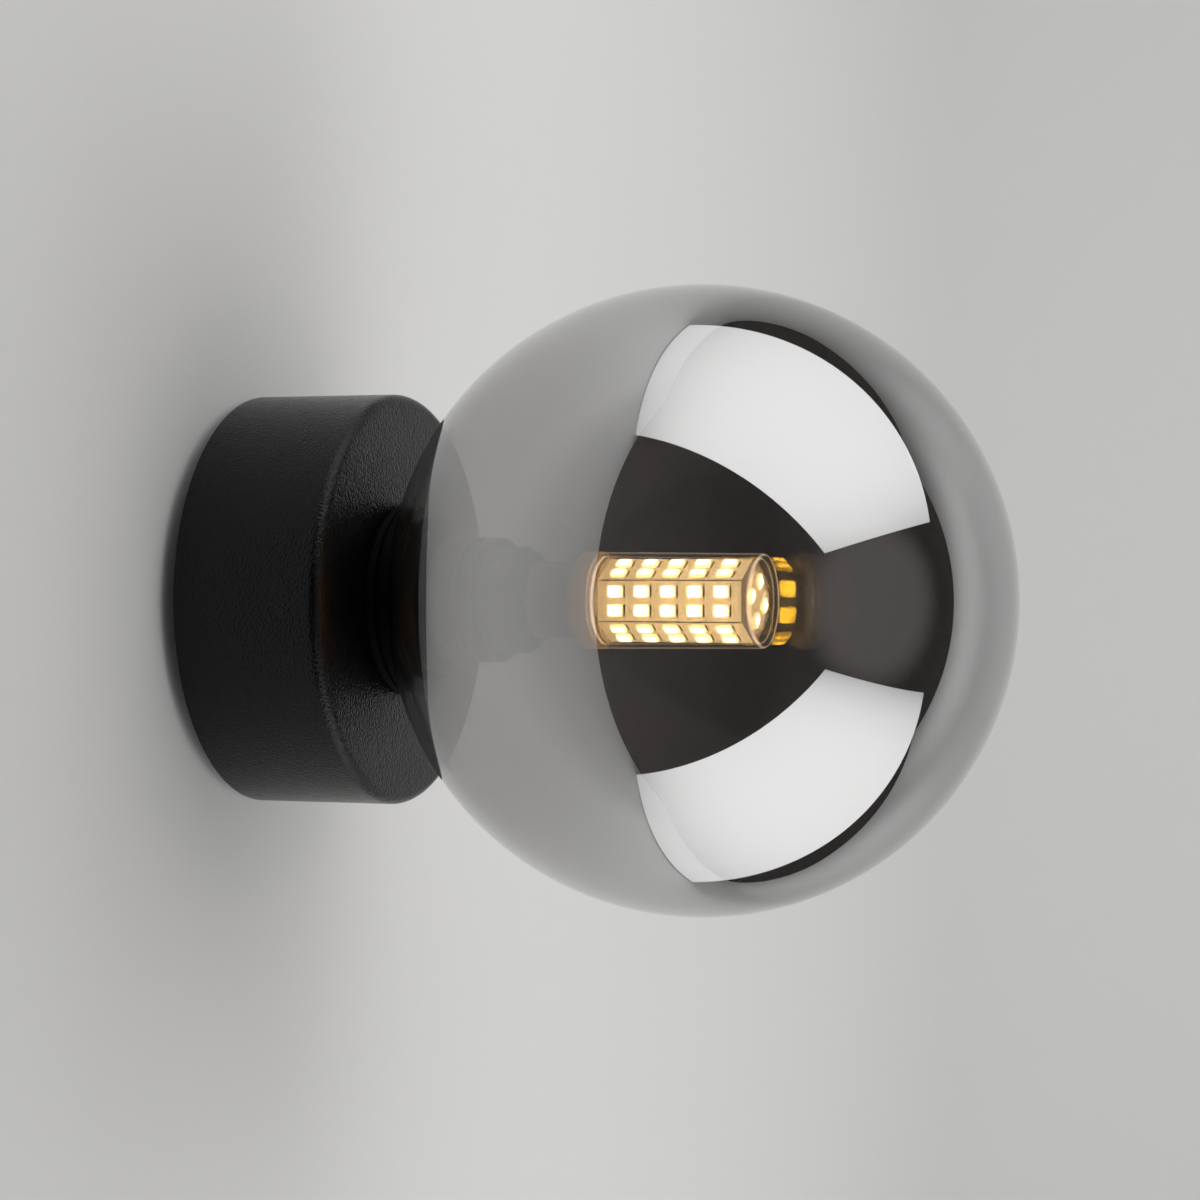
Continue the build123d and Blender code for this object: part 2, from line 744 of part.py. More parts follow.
def bulb_boards():
    """Six mitred circuit boards that stand on the rim as a six-sided tube."""
    boards = []
    inner_apothem = board_apothem - board_t
    slope = tan(radians(30))
    outer_half = board_apothem * slope - board_gap / 2
    inner_half = inner_apothem * slope - board_gap / 2
    outline = make_face(Polyline(
        (board_apothem, outer_half), (board_apothem, -outer_half),
        (inner_apothem, -inner_half), (inner_apothem, inner_half), close=True,
    ))
    board = extrude(across(board_back) * outline, board_len)
    for angle in facet_angles():
        boards.append(on_facet(angle, board))
    return boards


def bulb_side_leds():
    """LED chips on the six boards, in two columns of five."""
    leds = []
    for angle in facet_angles():
        for row in range(led_rows):
            out = board_back + led_first_row + row * led_row_pitch
            for side in (0.5, -0.5):
                chip = Pos(board_apothem + led_h / 2, -out, side * led_column_pitch)
                leds.append(on_facet(angle, chip * Box(led_h, led_len, led_w)))
    return leds


def bulb_end_board():
    """Six-sided board across the front of the other six."""
    outline = RegularPolygon(board_w - board_gap, 6, rotation=30)
    return extrude(across(board_front) * outline, board_t)


def bulb_end_leds():
    """Four LED chips that face the room, in a square turned in line with two of the six sides."""
    leds = []
    back = end_board_front
    for i in range(4):
        spoke = radians(45 + 90 * i)
        x = cos(spoke) * end_led_pitch / sqrt(2)
        z = sin(spoke) * end_led_pitch / sqrt(2)
        chip = slab(x, z, back, back + led_h, led_len, led_w)
        leds.append(on_facet(end_led_turn, chip))
    return leds


def bulb_cover():
    """Clear drafted cover with a rounded, closed end and a small moulding mark."""
    draft = tan(radians(cover_draft))
    bore_end = cover_end - cover_end_t
    bore_end_r = cover_bore_back_r - (bore_end - cup_front) * draft
    end_r = cover_back_r - (cover_end - cup_front) * draft
    cover = turned(
        (cover_bore_back_r, cup_front), (cover_back_r, cup_front), (end_r, cover_end),
        (0, cover_end), (0, bore_end), (bore_end_r, bore_end),
    )
    cover = fillet(circles_at(cover, end_r, cover_end), cover_edge_r)
    return cover + rod(0, 0, gate_d / 2, cover_end, cover_end + gate_h)


def driver_start():
    """The driver board stands on the floor of the bulb's base."""
    return bulb_foot + bulb_floor_t


def bulb_driver_board():
    """Circuit board of the LED driver, inside the six boards."""
    return slab(0, 0, driver_start(), driver_start() + driver_len, driver_t, driver_w)


def bulb_capacitor():
    """Smoothing capacitor that lies against the driver board."""
    start = driver_start() + parts_start
    x = driver_t / 2 + fit_gap + capacitor_d / 2
    can = rod(x, 0, capacitor_d / 2, start, start + capacitor_len)
    return fillet(can.edges().filter_by(GeomType.CIRCLE), capacitor_edge_r)


def bulb_driver_chips():
    """Rectifier, controller and coil on the board's other face."""
    chips = []
    out = driver_start() + parts_start
    for height, length, width in chip_sizes:
        x = -driver_t / 2 - height / 2
        chips.append(Pos(x, -(out + length / 2), 0) * Box(height, length, width))
        out += length + chip_gap
    return chips


# ---- All nodes ---------------------------------------------------------------------------
def live_wire():
    """Lead to the middle pole."""
    return holder_lead(-pin_x, pole_xs[1])


def neutral_wire():
    """Lead to the last pole."""
    return holder_lead(pin_x, pole_xs[2])


NODES = [
    base_housing, mounting_plate, side_screws, cable_grommet, threaded_sleeve, lock_washer,
    lock_nut, lampholder_insert, holder_contacts, holder_cap, live_wire, neutral_wire,
    earth_wire, terminal_block, terminal_tubes, terminal_screws, block_screw, earth_washer,
    earth_lug, earth_screw, globe_glass, globe_collar, glass_seal, bulb_base, bulb_pins,
    bulb_boards, bulb_side_leds, bulb_end_board, bulb_end_leds, bulb_cover,
    bulb_driver_board, bulb_capacitor, bulb_driver_chips,
]

for make in NODES:
    made = make()
    solids = made if isinstance(made, list) else [made]
    solids = [solid for shape in solids for solid in shape.solids()]
    node = solids[0] if len(solids) == 1 else Compound(children=solids)
    node.label = make.__name__
    export_step(node, f"parts/{make.__name__}.step")
    print(make.__name__, len(solids), "solid(s)")
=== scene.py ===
# %% [markdown]
# # Globe wall sconce
# A black drum base carries a threaded lampholder. A slim LED bulb plugs into it, and a ball of
# smoked half-mirror glass screws over both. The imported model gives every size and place, in
# metres, with +Z up and the wall at Y = 0. This notebook gives each surface its finish, and
# replaces the plain solids where a real thread, a lit chip or a smooth ball is needed.

import math

import bmesh
import bpy
import numpy as np
from mathutils import Matrix, Vector


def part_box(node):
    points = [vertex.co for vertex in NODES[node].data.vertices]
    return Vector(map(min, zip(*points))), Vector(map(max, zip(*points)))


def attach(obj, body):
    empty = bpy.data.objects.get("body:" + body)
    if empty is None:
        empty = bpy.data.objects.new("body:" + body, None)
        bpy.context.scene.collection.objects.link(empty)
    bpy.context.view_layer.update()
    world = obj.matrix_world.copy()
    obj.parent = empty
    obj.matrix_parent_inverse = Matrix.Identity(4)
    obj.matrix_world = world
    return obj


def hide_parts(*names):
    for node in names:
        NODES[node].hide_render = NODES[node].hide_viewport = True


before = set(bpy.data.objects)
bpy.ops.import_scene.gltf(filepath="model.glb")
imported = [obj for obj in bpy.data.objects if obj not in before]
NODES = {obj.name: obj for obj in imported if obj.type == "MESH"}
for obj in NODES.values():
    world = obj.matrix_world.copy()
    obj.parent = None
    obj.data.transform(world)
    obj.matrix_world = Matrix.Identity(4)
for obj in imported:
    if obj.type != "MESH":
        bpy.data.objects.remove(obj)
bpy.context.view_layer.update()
MM = 0.001

# %% [markdown]
# ## Sizes read from the frame
# Each round piece is centred on the lamp's axis, so its box gives its radius and the two
# distances from the wall. New surfaces are drawn in millimetres with these numbers.

# %% Read a round piece's size
def span(node):
    """(radius, back, front) of a round node in millimetres: half its width, and its reach out."""
    low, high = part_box(node)
    return (high.x - low.x) / 2 / MM, -high.y / MM, -low.y / MM


BASE_R, BASE_BACK, BASE_FRONT = span("base_housing")
BALL_R, RIM_OUT, BALL_FRONT = span("globe_glass")
BALL_OUT = BALL_FRONT - BALL_R
print(f"base radius {BASE_R:.2f}, front {BASE_FRONT:.2f}; ball radius {BALL_R:.2f} at {BALL_OUT:.2f}")

# %% [markdown]
# ## The camera
# The picture was taken from beside the lamp, almost level, with a long lens. A camera looks
# along its own -Z, so a tracking rotation turns that axis to the view. The lens and the place
# come from fitting the outlines of the ball and the base.

# %% Place the camera
VIEW_AZIMUTH = math.radians(-69.01)
VIEW_DROP = math.radians(0.72)
VIEW_DISTANCE = 770.4 * MM
VIEW_TARGET = Vector((27.6, -72.0, -0.3)) * MM
LENS_MM = 99.0
SENSOR_MM = 36.0

view = Vector((
    -math.sin(VIEW_AZIMUTH) * math.cos(VIEW_DROP),
    math.cos(VIEW_AZIMUTH) * math.cos(VIEW_DROP),
    -math.sin(VIEW_DROP),
))
camera_data = bpy.data.cameras.new("camera")
camera_data.lens = LENS_MM
camera_data.sensor_width = SENSOR_MM
camera_data.clip_start = 0.01
camera = bpy.data.objects.new("camera", camera_data)
camera.location = VIEW_TARGET - view * VIEW_DISTANCE
camera.rotation_euler = view.to_track_quat("-Z", "Y").to_euler()
bpy.context.scene.collection.objects.link(camera)
bpy.context.scene.camera = camera
print("camera at", tuple(round(v, 4) for v in camera.location))

# %% [markdown]
# ## Mesh helpers
# Nearly every piece here is turned on a lathe or moulded in a round tool. So one function turns
# an outline about the lamp's axis. The outline is a list of (radius, out) points in millimetres,
# and a second function rounds its corners the way a tool would.

# %% Make a mesh object from whole arrays
def mesh_object(name, points, faces, smooth_angle=35.0):
    """Mesh from an (n, 3) array in metres and a list of face tuples, smooth below the angle."""
    mesh = bpy.data.meshes.new(name)
    mesh.from_pydata(points.tolist(), [], faces)
    mesh.validate()
    mesh.shade_smooth()
    mesh.set_sharp_from_angle(angle=math.radians(smooth_angle))
    piece = bpy.data.objects.new(name, mesh)
    bpy.context.scene.collection.objects.link(piece)
    return piece


def grid_faces(rows, columns, closed_rows):
    """Quads of a grid that closes round its columns, and round its rows if closed_rows."""
    i = np.arange(rows if closed_rows else rows - 1)[:, None]
    j = np.arange(columns)[None, :]
    after_i = (i + 1) % rows
    after_j = (j + 1) % columns
    corners = [
        i * columns + j, i * columns + after_j,
        after_i * columns + after_j, after_i * columns + j]
    return np.stack([np.broadcast_to(c, (len(i), columns)) for c in corners], -1).reshape(-1, 4)

# %% Round the corners of an outline
def rounded(corners, steps=5):
    """Outline through (r, out, radius) corners, each cut by an arc of that radius.

    The arc touches both sides at radius * tan(half the turn) from the corner. A radius of 0
    keeps the corner sharp."""
    points = np.array([c[:2] for c in corners], float)
    outline = []
    for k, (r, out, radius) in enumerate(corners):
        here = points[k]
        before = points[k - 1] - here
        after = points[(k + 1) % len(points)] - here
        if radius == 0:
            outline.append(here)
            continue
        before /= np.linalg.norm(before)
        after /= np.linalg.norm(after)
        half = math.acos(np.clip(before @ after, -1, 1)) / 2
        middle = before + after
        centre = here + middle / np.linalg.norm(middle) * radius / math.sin(half)
        start = here + before * radius / math.tan(half) - centre
        end = here + after * radius / math.tan(half) - centre
        share = np.linspace(0, 1, steps + 1)[:, None]
        half_turn = math.pi / 2 - half
        arc = start * np.sin((1 - share) * half_turn * 2) + end * np.sin(share * half_turn * 2)
        outline.extend(centre + arc / np.linalg.norm(arc, axis=1)[:, None] * radius)
    return np.array(outline)

# %% Turn an outline about the lamp's axis
def turned(name, outline, segments=192, swell=None, angles=None):
    """Closed surface of revolution from a closed outline of (radius, out) points.

    Point (r, out) at angle a lies at x = r cos a, y = -out, z = r sin a. swell(r, out, a)
    gives a millimetre change of radius, for threads and dimples. Rows on the axis shrink to one
    point, and the faces are turned outwards by the sign of the enclosed volume."""
    r, out = np.asarray(outline, float).T
    a = np.arange(segments) * 2 * np.pi / segments if angles is None else np.asarray(angles)
    radius = np.broadcast_to(r[:, None], (len(r), len(a))).copy()
    if swell is not None:
        radius += swell(r[:, None], out[:, None], a[None, :])
    depth = np.broadcast_to(-out[:, None], radius.shape)
    grid = np.stack([radius * np.cos(a), depth, radius * np.sin(a)], -1).reshape(-1, 3) * MM
    quads = grid_faces(len(r), len(a), True)
    on_axis = np.isclose(np.repeat(r, len(a)), 0.0)
    first = (np.arange(len(grid)) // len(a)) * len(a)
    owner = np.where(on_axis, first, np.arange(len(grid)))
    quads = owner[quads]
    p = grid[quads]
    volume = np.einsum("ij,ij->i", p[:, 0], np.cross(p[:, 1], p[:, 2])).sum()
    volume += np.einsum("ij,ij->i", p[:, 0], np.cross(p[:, 2], p[:, 3])).sum()
    if volume < 0:
        quads = quads[:, ::-1]
    faces = [tuple(dict.fromkeys(quad)) for quad in quads.tolist()]
    faces = [face for face in faces if len(face) > 2]
    used, index = np.unique(np.concatenate(faces), return_inverse=True)
    sizes = np.cumsum([len(face) for face in faces])[:-1]
    faces = [tuple(face) for face in np.split(index.ravel(), sizes)]
    return mesh_object(name, grid[used], [tuple(int(v) for v in face) for face in faces])

# %% [markdown]
# ## Material helpers
# Every finish starts from the Principled shader with its constants on its own sockets. Noise on
# Object coordinates then varies its colour and roughness and adds a fine bump, at the real
# grain's size in millimetres.

# %% Start a material
NOISE_ROUGHNESS = 0.55


def new_material(name, colour, roughness, metallic=0.0, **sockets):
    """Principled material; sockets are other inputs by name, with _ for a space."""
    material = bpy.data.materials.new(name)
    material.use_nodes = True
    shader = material.node_tree.nodes["Principled BSDF"]
    shader.inputs["Base Color"].default_value = (*colour, 1.0)
    shader.inputs["Roughness"].default_value = roughness
    shader.inputs["Metallic"].default_value = metallic
    for socket, value in sockets.items():
        shader.inputs[socket.replace("_", " ")].default_value = value
    return material


def noise(material, size_mm, detail=3.0):
    """Noise whose blobs are about size_mm wide, on the object's own coordinates."""
    nodes, links = material.node_tree.nodes, material.node_tree.links
    place = nodes.new("ShaderNodeTexCoord")
    texture = nodes.new("ShaderNodeTexNoise")
    texture.inputs["Scale"].default_value = 1 / (size_mm * MM)
    texture.inputs["Detail"].default_value = detail
    texture.inputs["Roughness"].default_value = NOISE_ROUGHNESS
    links.new(place.outputs["Object"], texture.inputs["Vector"])
    return texture.outputs["Fac"]

# %% Read a coordinate and blend two colours
def coordinate(material, axis):
    """The point's own X, Y or Z in metres."""
    nodes, links = material.node_tree.nodes, material.node_tree.links
    place = nodes.new("ShaderNodeTexCoord")
    split = nodes.new("ShaderNodeSeparateXYZ")
    links.new(place.outputs["Object"], split.inputs["Vector"])
    return split.outputs[axis]


def between(owner, factor, low, high):
    """Colour that runs from low to high as the factor goes from 0 to 1."""
    nodes, links = owner.node_tree.nodes, owner.node_tree.links
    mix = nodes.new("ShaderNodeMix")
    mix.data_type = "RGBA"
    mix.inputs["A"].default_value = (*low, 1.0)
    mix.inputs["B"].default_value = (*high, 1.0)
    links.new(factor, mix.inputs["Factor"])
    return mix.outputs["Result"]

# %% Vary colour, roughness and height
def remap(material, value, low, high, start=0.3, end=0.7):
    """Value between start and end becomes a value between low and high."""
    nodes, links = material.node_tree.nodes, material.node_tree.links
    step = nodes.new("ShaderNodeMapRange")
    step.inputs["From Min"].default_value = start
    step.inputs["From Max"].default_value = end
    step.inputs["To Min"].default_value = low
    step.inputs["To Max"].default_value = high
    links.new(value, step.inputs["Value"])
    return step.outputs["Result"]


def vary_colour(material, value, dark, light):
    """Base colour runs from dark to light with value."""
    shader = material.node_tree.nodes["Principled BSDF"]
    colour = between(material, remap(material, value, 0.0, 1.0), dark, light)
    material.node_tree.links.new(colour, shader.inputs["Base Color"])


def vary_roughness(material, value, low, high):
    """Roughness runs from low to high with value."""
    shader = material.node_tree.nodes["Principled BSDF"]
    material.node_tree.links.new(remap(material, value, low, high), shader.inputs["Roughness"])


def add_bump(material, value, height_mm, strength=1.0):
    """Value stands for a height of up to height_mm on the surface."""
    nodes, links = material.node_tree.nodes, material.node_tree.links
    bump = nodes.new("ShaderNodeBump")
    bump.inputs["Strength"].default_value = strength
    bump.inputs["Distance"].default_value = height_mm * MM
    links.new(value, bump.inputs["Height"])
    links.new(bump.outputs["Normal"], nodes["Principled BSDF"].inputs["Normal"])


def paint(piece, material):
    """The piece shows this material alone."""
    piece.data.materials.clear()
    piece.data.materials.append(material)
    return piece

# %% [markdown]
# ## The wall
# The lamp hangs on a plain pale wall that turns forward in a wide curve far to the right, so the
# glass has something pale to mirror there. It ends to the left of the lamp, where the room is
# dark, and that edge is what draws the dark shape in the ball. The wall is staging, not part of
# the lamp. In the picture a dark line runs along the base, so the wall stands 3.4 mm behind it.

# %% Build the wall
WALL_LEFT = -400.0
WALL_BACK = 3.4
WALL_TURN = 620.0
WALL_TURN_R = 380.0
WALL_FORWARD = 1950.0
WALL_HALF_HEIGHT = 1300.0


def wall_line(steps=24):
    """Flat run, quarter circle of WALL_TURN_R and flat run forward, as (x, out) points."""
    turn = np.linspace(0, np.pi / 2, steps)
    x = WALL_TURN + WALL_TURN_R * np.sin(turn)
    out = WALL_TURN_R * (1 - np.cos(turn))
    return np.concatenate([[[WALL_LEFT, 0.0]], np.stack([x, out], -1), [[x[-1], WALL_FORWARD]]])


line = wall_line()
levels = np.array([-WALL_HALF_HEIGHT, WALL_HALF_HEIGHT])
wall_points = np.array([[x, WALL_BACK - out, z] for z in levels for x, out in line]) * MM
count = len(line)
wall_faces = [(k, k + 1, count + k + 1, count + k) for k in range(count - 1)]
wall = mesh_object("wall", wall_points, wall_faces)
print("wall points:", len(wall_points))

# %% [markdown]
# The wall's paint is a plain light grey with a faint grain. Left of the lamp it is a little darker,
# as in the picture: painted shade, where less light falls. The shader asks which side of the
# surface it is seen from, and is clear from behind, so that the back of the lamp can be looked at.

# %% Finish the wall
WALL_COLOUR = (0.54, 0.539, 0.536)
# Painted shade: the wall's grey at its far left, where less light falls.
WALL_PAINTED_SHADE = (0.455, 0.454, 0.452)
WALL_SHADE_X = -200.0
WALL_UNSHADED_X = -110.0
wall_paint = new_material("wall_paint", WALL_COLOUR, 0.9, Specular_IOR_Level=0.2)
add_bump(wall_paint, noise(wall_paint, 1.2), 0.05, 0.3)
nodes, links = wall_paint.node_tree.nodes, wall_paint.node_tree.links
# Painted shade: the wall's colour darkens from 110 mm to 200 mm left of the lamp's axis.
across = coordinate(wall_paint, "X")
across = remap(wall_paint, across, 0.0, 1.0, WALL_SHADE_X * MM, WALL_UNSHADED_X * MM)
shaded_greys = between(wall_paint, across, WALL_PAINTED_SHADE, WALL_COLOUR)
links.new(shaded_greys, nodes["Principled BSDF"].inputs["Base Color"])
side = nodes.new("ShaderNodeNewGeometry")
clear = nodes.new("ShaderNodeBsdfTransparent")
either = nodes.new("ShaderNodeMixShader")
links.new(side.outputs["Backfacing"], either.inputs["Fac"])
links.new(nodes["Principled BSDF"].outputs["BSDF"], either.inputs[1])
links.new(clear.outputs["BSDF"], either.inputs[2])
links.new(either.outputs["Shader"], nodes["Material Output"].inputs["Surface"])
paint(wall, wall_paint)

# %% [markdown]
# ## The light
# Two plain softboxes stand above and below the lamp and lean over it. Their mirror images are
# the two bright patches on the ball, so the corners of those patches give the boxes' size, place
# and lean. A real softbox is brightest in its middle, so each light's own nodes dim it outwards.

# %% Hang the softboxes
SOFTBOX_GLOW = 1.62
MIDDLE_OUT = 400.0
OUT_REACH = 400.0
OUT_FALL = 0.47
MIDDLE_X = -60.0
X_REACH = 320.0
X_FALL = 0.08


def softbox(name, near_left, near_right, far_left, glow, toward):
    """Area light on a rectangle given by three corners in millimetres, facing the point toward.

    A flat light of one brightness gives off glow * pi * its area, in watts."""
    corner, along, up = (Vector(c) * MM for c in (near_left, near_right, far_left))
    along, up = along - corner, up - corner
    across = along.normalized()
    rise = (up - across * up.dot(across)).normalized()
    centre = corner + along / 2 + up / 2
    normal = across.cross(rise)
    if normal.dot(centre - Vector(toward) * MM) < 0:
        rise, normal = -rise, -normal
    data = bpy.data.lights.new(name, "AREA")
    data.shape = "RECTANGLE"
    data.size, data.size_y = along.length, up.length
    data.energy = glow * math.pi * along.length * up.length
    light = bpy.data.objects.new(name, data)
    turn = Matrix((across, rise, normal)).transposed().to_4x4()
    light.matrix_world = Matrix.Translation(centre) @ turn
    light.visible_camera = False
    bpy.context.scene.collection.objects.link(light)
    return light


def brighter_middle(light):
    """The light's strength falls from its middle line, with the cube of the distance out.

    Strength is 1 - OUT_FALL |out - middle|^3 - X_FALL (x - middle)^2, with distances in reaches."""
    light.data.use_nodes = True
    nodes, links = light.data.node_tree.nodes, light.data.node_tree.links

    def step(operation, first, second):
        """One Math node; each input is a socket or a number."""
        node = nodes.new("ShaderNodeMath")
        node.operation = operation
        for socket, value in zip(node.inputs, (first, second)):
            if isinstance(value, (int, float)):
                socket.default_value = value
            else:
                links.new(value, socket)
        return node.outputs["Value"]

    split = nodes.new("ShaderNodeSeparateXYZ")
    links.new(nodes.new("ShaderNodeNewGeometry").outputs["Position"], split.inputs["Vector"])
    out = step("DIVIDE", step("ADD", split.outputs["Y"], MIDDLE_OUT * MM), OUT_REACH * MM)
    out = step("ABSOLUTE", out, 0.0)
    side = step("DIVIDE", step("SUBTRACT", split.outputs["X"], MIDDLE_X * MM), X_REACH * MM)
    out_fall = step("MULTIPLY", step("POWER", out, 3.0), OUT_FALL)
    side_fall = step("MULTIPLY", step("MULTIPLY", side, side), X_FALL)
    fall = step("ADD", out_fall, side_fall)
    links.new(step("SUBTRACT", 1.0, fall), nodes["Emission"].inputs["Strength"])


LAMP = (0, -107, 0)
for light in (
    softbox("softbox_above", (-329, 2, 566), (255, -2, 606), (-379, -754, 199),
            SOFTBOX_GLOW, LAMP),
    softbox("softbox_below", (-317, 2, -577), (275, -2, -590), (-375, -801, -294),
            SOFTBOX_GLOW, LAMP),
):
    brighter_middle(light)
    print(light.name, "power", round(light.data.energy, 3))

# %% [markdown]
# The softboxes leave the far parts of the wall too dark. Four more lights stand out of the
# picture and even it out: one for the flat wall to the right of the lamp, one for the part that
# runs forward, and one each for its low and high ends. Their places and levels come from the
# wall's brightness in the picture. Mirrors don't show them, so the ball stays as it is.

# %% Even out the wall
for light in (
    softbox("wall_light", (-32, -598, -1000), (532, -802, -1000), (-32, -598, 1000),
            glow=1.65, toward=(500, 0, 0)),
    softbox("turn_light", (250, -1150, -1300), (250, -1650, -1300), (250, -1150, 700),
            glow=3.9, toward=(1000, -1400, 0)),
    softbox("low_light", (600, -250, -1200), (600, -650, -1200), (600, -250, -700),
            glow=2.0, toward=(1000, -450, -950)),
    softbox("high_light", (550, -450, 400), (550, -1350, 400), (550, -450, 1000),
            glow=1.15, toward=(1000, -900, 700)),
):
    light.visible_glossy = False
    print(light.name, "power", round(light.data.energy, 3))

# %% [markdown]
# The room itself is a world background. It is dark, as the ball shows, and a little less so
# straight in front of the lamp. How far a direction points to the front is its dot product with
# FRONT_DIRECTION, and the colour goes from dark to light between two values of it.

# %% Darken the room
ROOM_DARK = (0.022, 0.020, 0.019)
ROOM_FRONT = (0.13, 0.122, 0.117)
FRONT_DIRECTION = (-0.12, -0.99, 0.0)
FRONT_FROM = 0.86
FRONT_FULL = 0.96

room = bpy.data.worlds.new("room")
room.use_nodes = True
nodes, links = room.node_tree.nodes, room.node_tree.links
place = nodes.new("ShaderNodeTexCoord")
toward_front = nodes.new("ShaderNodeVectorMath")
toward_front.operation = "DOT_PRODUCT"
toward_front.inputs[1].default_value = FRONT_DIRECTION
ramp = nodes.new("ShaderNodeMapRange")
ramp.interpolation_type = "SMOOTHSTEP"
ramp.inputs["From Min"].default_value = FRONT_FROM
ramp.inputs["From Max"].default_value = FRONT_FULL
links.new(place.outputs["Generated"], toward_front.inputs[0])
links.new(toward_front.outputs["Value"], ramp.inputs["Value"])
shade = between(room, ramp.outputs["Result"], ROOM_DARK, ROOM_FRONT)
links.new(shade, nodes["Background"].inputs["Color"])
bpy.context.scene.world = room
bpy.context.scene.view_settings.view_transform = "Standard"

# %% [markdown]
# ## Base housing
# The base is a turned metal cup with a flat front, a small rounded shoulder and a fine-textured
# black powder coat. Two countersunk seats for its side screws dent its side above and below.

# %% Turn the base housing
SHELL = 2.0
SHOULDER = 2.3
SLEEVE_HOLE_R = 14.45
SCREW_OUT = 8.6
SEAT_TOP_R = 3.6
SEAT_HOLE_R = 1.85
SEAT_DEPTH = 2.05
SEAT_SPARE = 0.1
FINE_REACH = 4.0
FINE_STEP = 0.16


def screw_seats(r, out, angle):
    """Cone-shaped dents in the outer wall, as deep as the distance in from the seat's edge."""
    upright = np.abs(np.sin(angle))
    across = BASE_R * np.cos(angle)
    distance = np.hypot(across, out - SCREW_OUT)
    dent = (SEAT_TOP_R - distance) * SEAT_DEPTH / (SEAT_TOP_R - SEAT_HOLE_R)
    dent = np.clip(dent, 0, SEAT_DEPTH - SEAT_SPARE)
    return np.where((r > BASE_R - 0.01) & (upright > 0.9), -dent, 0.0)


def base_outline():
    """Side wall with fine rows by the screws, rounded shoulder, flat front and hollow inside."""
    fine = np.arange(SCREW_OUT - FINE_REACH, SCREW_OUT + FINE_REACH + 0.01, FINE_STEP)
    rows = np.concatenate([[BASE_BACK], np.arange(0.6, 4.4, 0.8), fine, np.arange(13.2, 32.0, 2.0)])
    side_wall = np.stack([np.full(len(rows), BASE_R), rows], -1)
    turn = np.linspace(0, np.pi / 2, 9)
    shoulder = np.stack([
        BASE_R - SHOULDER + SHOULDER * np.cos(turn),
        BASE_FRONT - SHOULDER + SHOULDER * np.sin(turn)], -1)
    inside = BASE_R - SHELL
    back = [(SLEEVE_HOLE_R, BASE_FRONT), (SLEEVE_HOLE_R, BASE_FRONT - SHELL),
            (inside, BASE_FRONT - SHELL), (inside, BASE_BACK)]
    front = [(r, BASE_FRONT) for r in np.linspace(BASE_R - SHOULDER, SLEEVE_HOLE_R, 8)[1:-1]]
    return np.concatenate([side_wall, shoulder, front, back])


def fine_angles():
    """Even steps round the base, finer where the screws are."""
    even = np.linspace(0, 2 * np.pi, 257)[:-1]
    near = np.radians(np.arange(-5.4, 5.41, 0.2))
    return np.unique(np.concatenate([even, np.pi / 2 + near, 1.5 * np.pi + near]).round(6))


base_shell = turned("base_shell", base_outline(), swell=screw_seats, angles=fine_angles())
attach(base_shell, "base")
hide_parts("base_housing")
print("base faces:", len(base_shell.data.polygons))

# %% [markdown]
# Baked powder dries in small glossy pebbles, here about half a millimetre wide. One noise gives
# both their height and their colour, so the pits between them are painted darkest: painted shade.

# %% Finish the base in powder coat
POWDER_PIT_SHADE = (0.0010, 0.0010, 0.0011)
POWDER_LIGHT = (0.0050, 0.0049, 0.0050)
PEBBLE_WIDE = 0.55
PEBBLE_HIGH = 0.24
powder_coat = new_material("black_powder_coat", POWDER_PIT_SHADE, 0.3, Specular_IOR_Level=0.26)
pebbles = noise(powder_coat, PEBBLE_WIDE, detail=1.0)
# Painted shade: the colour runs dark in the pits and lighter on the pebbles' tops, by the same noise
# as the bump.
vary_colour(powder_coat, pebbles, POWDER_PIT_SHADE, POWDER_LIGHT)
vary_roughness(powder_coat, noise(powder_coat, 2.5), 0.18, 0.26)
add_bump(powder_coat, pebbles, PEBBLE_HIGH, 1.0)
paint(base_shell, powder_coat)

# %% [markdown]
# ## Glass ball
# The ball is a blown glass shell with a ground mouth. Its outline is two arcs, one inside the
# other, joined at the mouth, and it is turned like the base.

# %% Blow the ball
GLASS_WALL = 2.5
MOUTH_R = 19.6
RIM_BEVEL = 1.0


def ball_outline(steps=120):
    """Outer circle from the rim to the pole, then the inner circle back to the mouth."""
    rim_r = MOUTH_R + RIM_BEVEL
    inner_r = BALL_R - GLASS_WALL
    start = np.arcsin(rim_r / BALL_R)
    inner_start = np.arcsin(MOUTH_R / inner_r)
    outer = np.linspace(np.pi - start, 0, steps)
    inner = np.linspace(0, np.pi - inner_start, steps)
    outside = np.stack([BALL_R * np.sin(outer), BALL_OUT + BALL_R * np.cos(outer)], -1)
    inside = np.stack([inner_r * np.sin(inner), BALL_OUT + inner_r * np.cos(inner)], -1)
    outside[-1, 0] = inside[0, 0] = 0.0
    return np.concatenate([outside, inside, [(MOUTH_R, RIM_OUT)]])


glass_ball = turned("glass_ball", ball_outline(), segments=256)
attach(glass_ball, "globe")
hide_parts("globe_glass")
print("ball faces:", len(glass_ball.data.polygons))

# %% [markdown]
# A thin metal film lies on the outside of the glass. It mirrors almost half of the light that
# meets it head on, and more at a slant, and lets about a seventh through, tinted warm grey. The
# film thins out towards the mouth, where the lampholder shows more clearly. A thin glass shell
# hardly bends the view, so this finish is a mix of a mirror and a clear shader, which is simpler
# than a glass shader and lets the bulb's light straight through. The inner face only has the
# weak shine of plain glass. Seen from inside, the smoke-coloured glass dims the mirror image.

# %% Finish the ball in smoked half-mirror
FILM_MIRROR = 0.47
FILM_TINT = (0.265, 0.25, 0.245)
MOUTH_TINT = (0.86, 0.85, 0.84)
MOUTH_TINT_OUT = 45.0
FILM_TINT_OUT = 95.0
CLEAR_SHINE = 0.04
FILM_FROM_INSIDE = 0.4
SLANT_POWER = 5.0


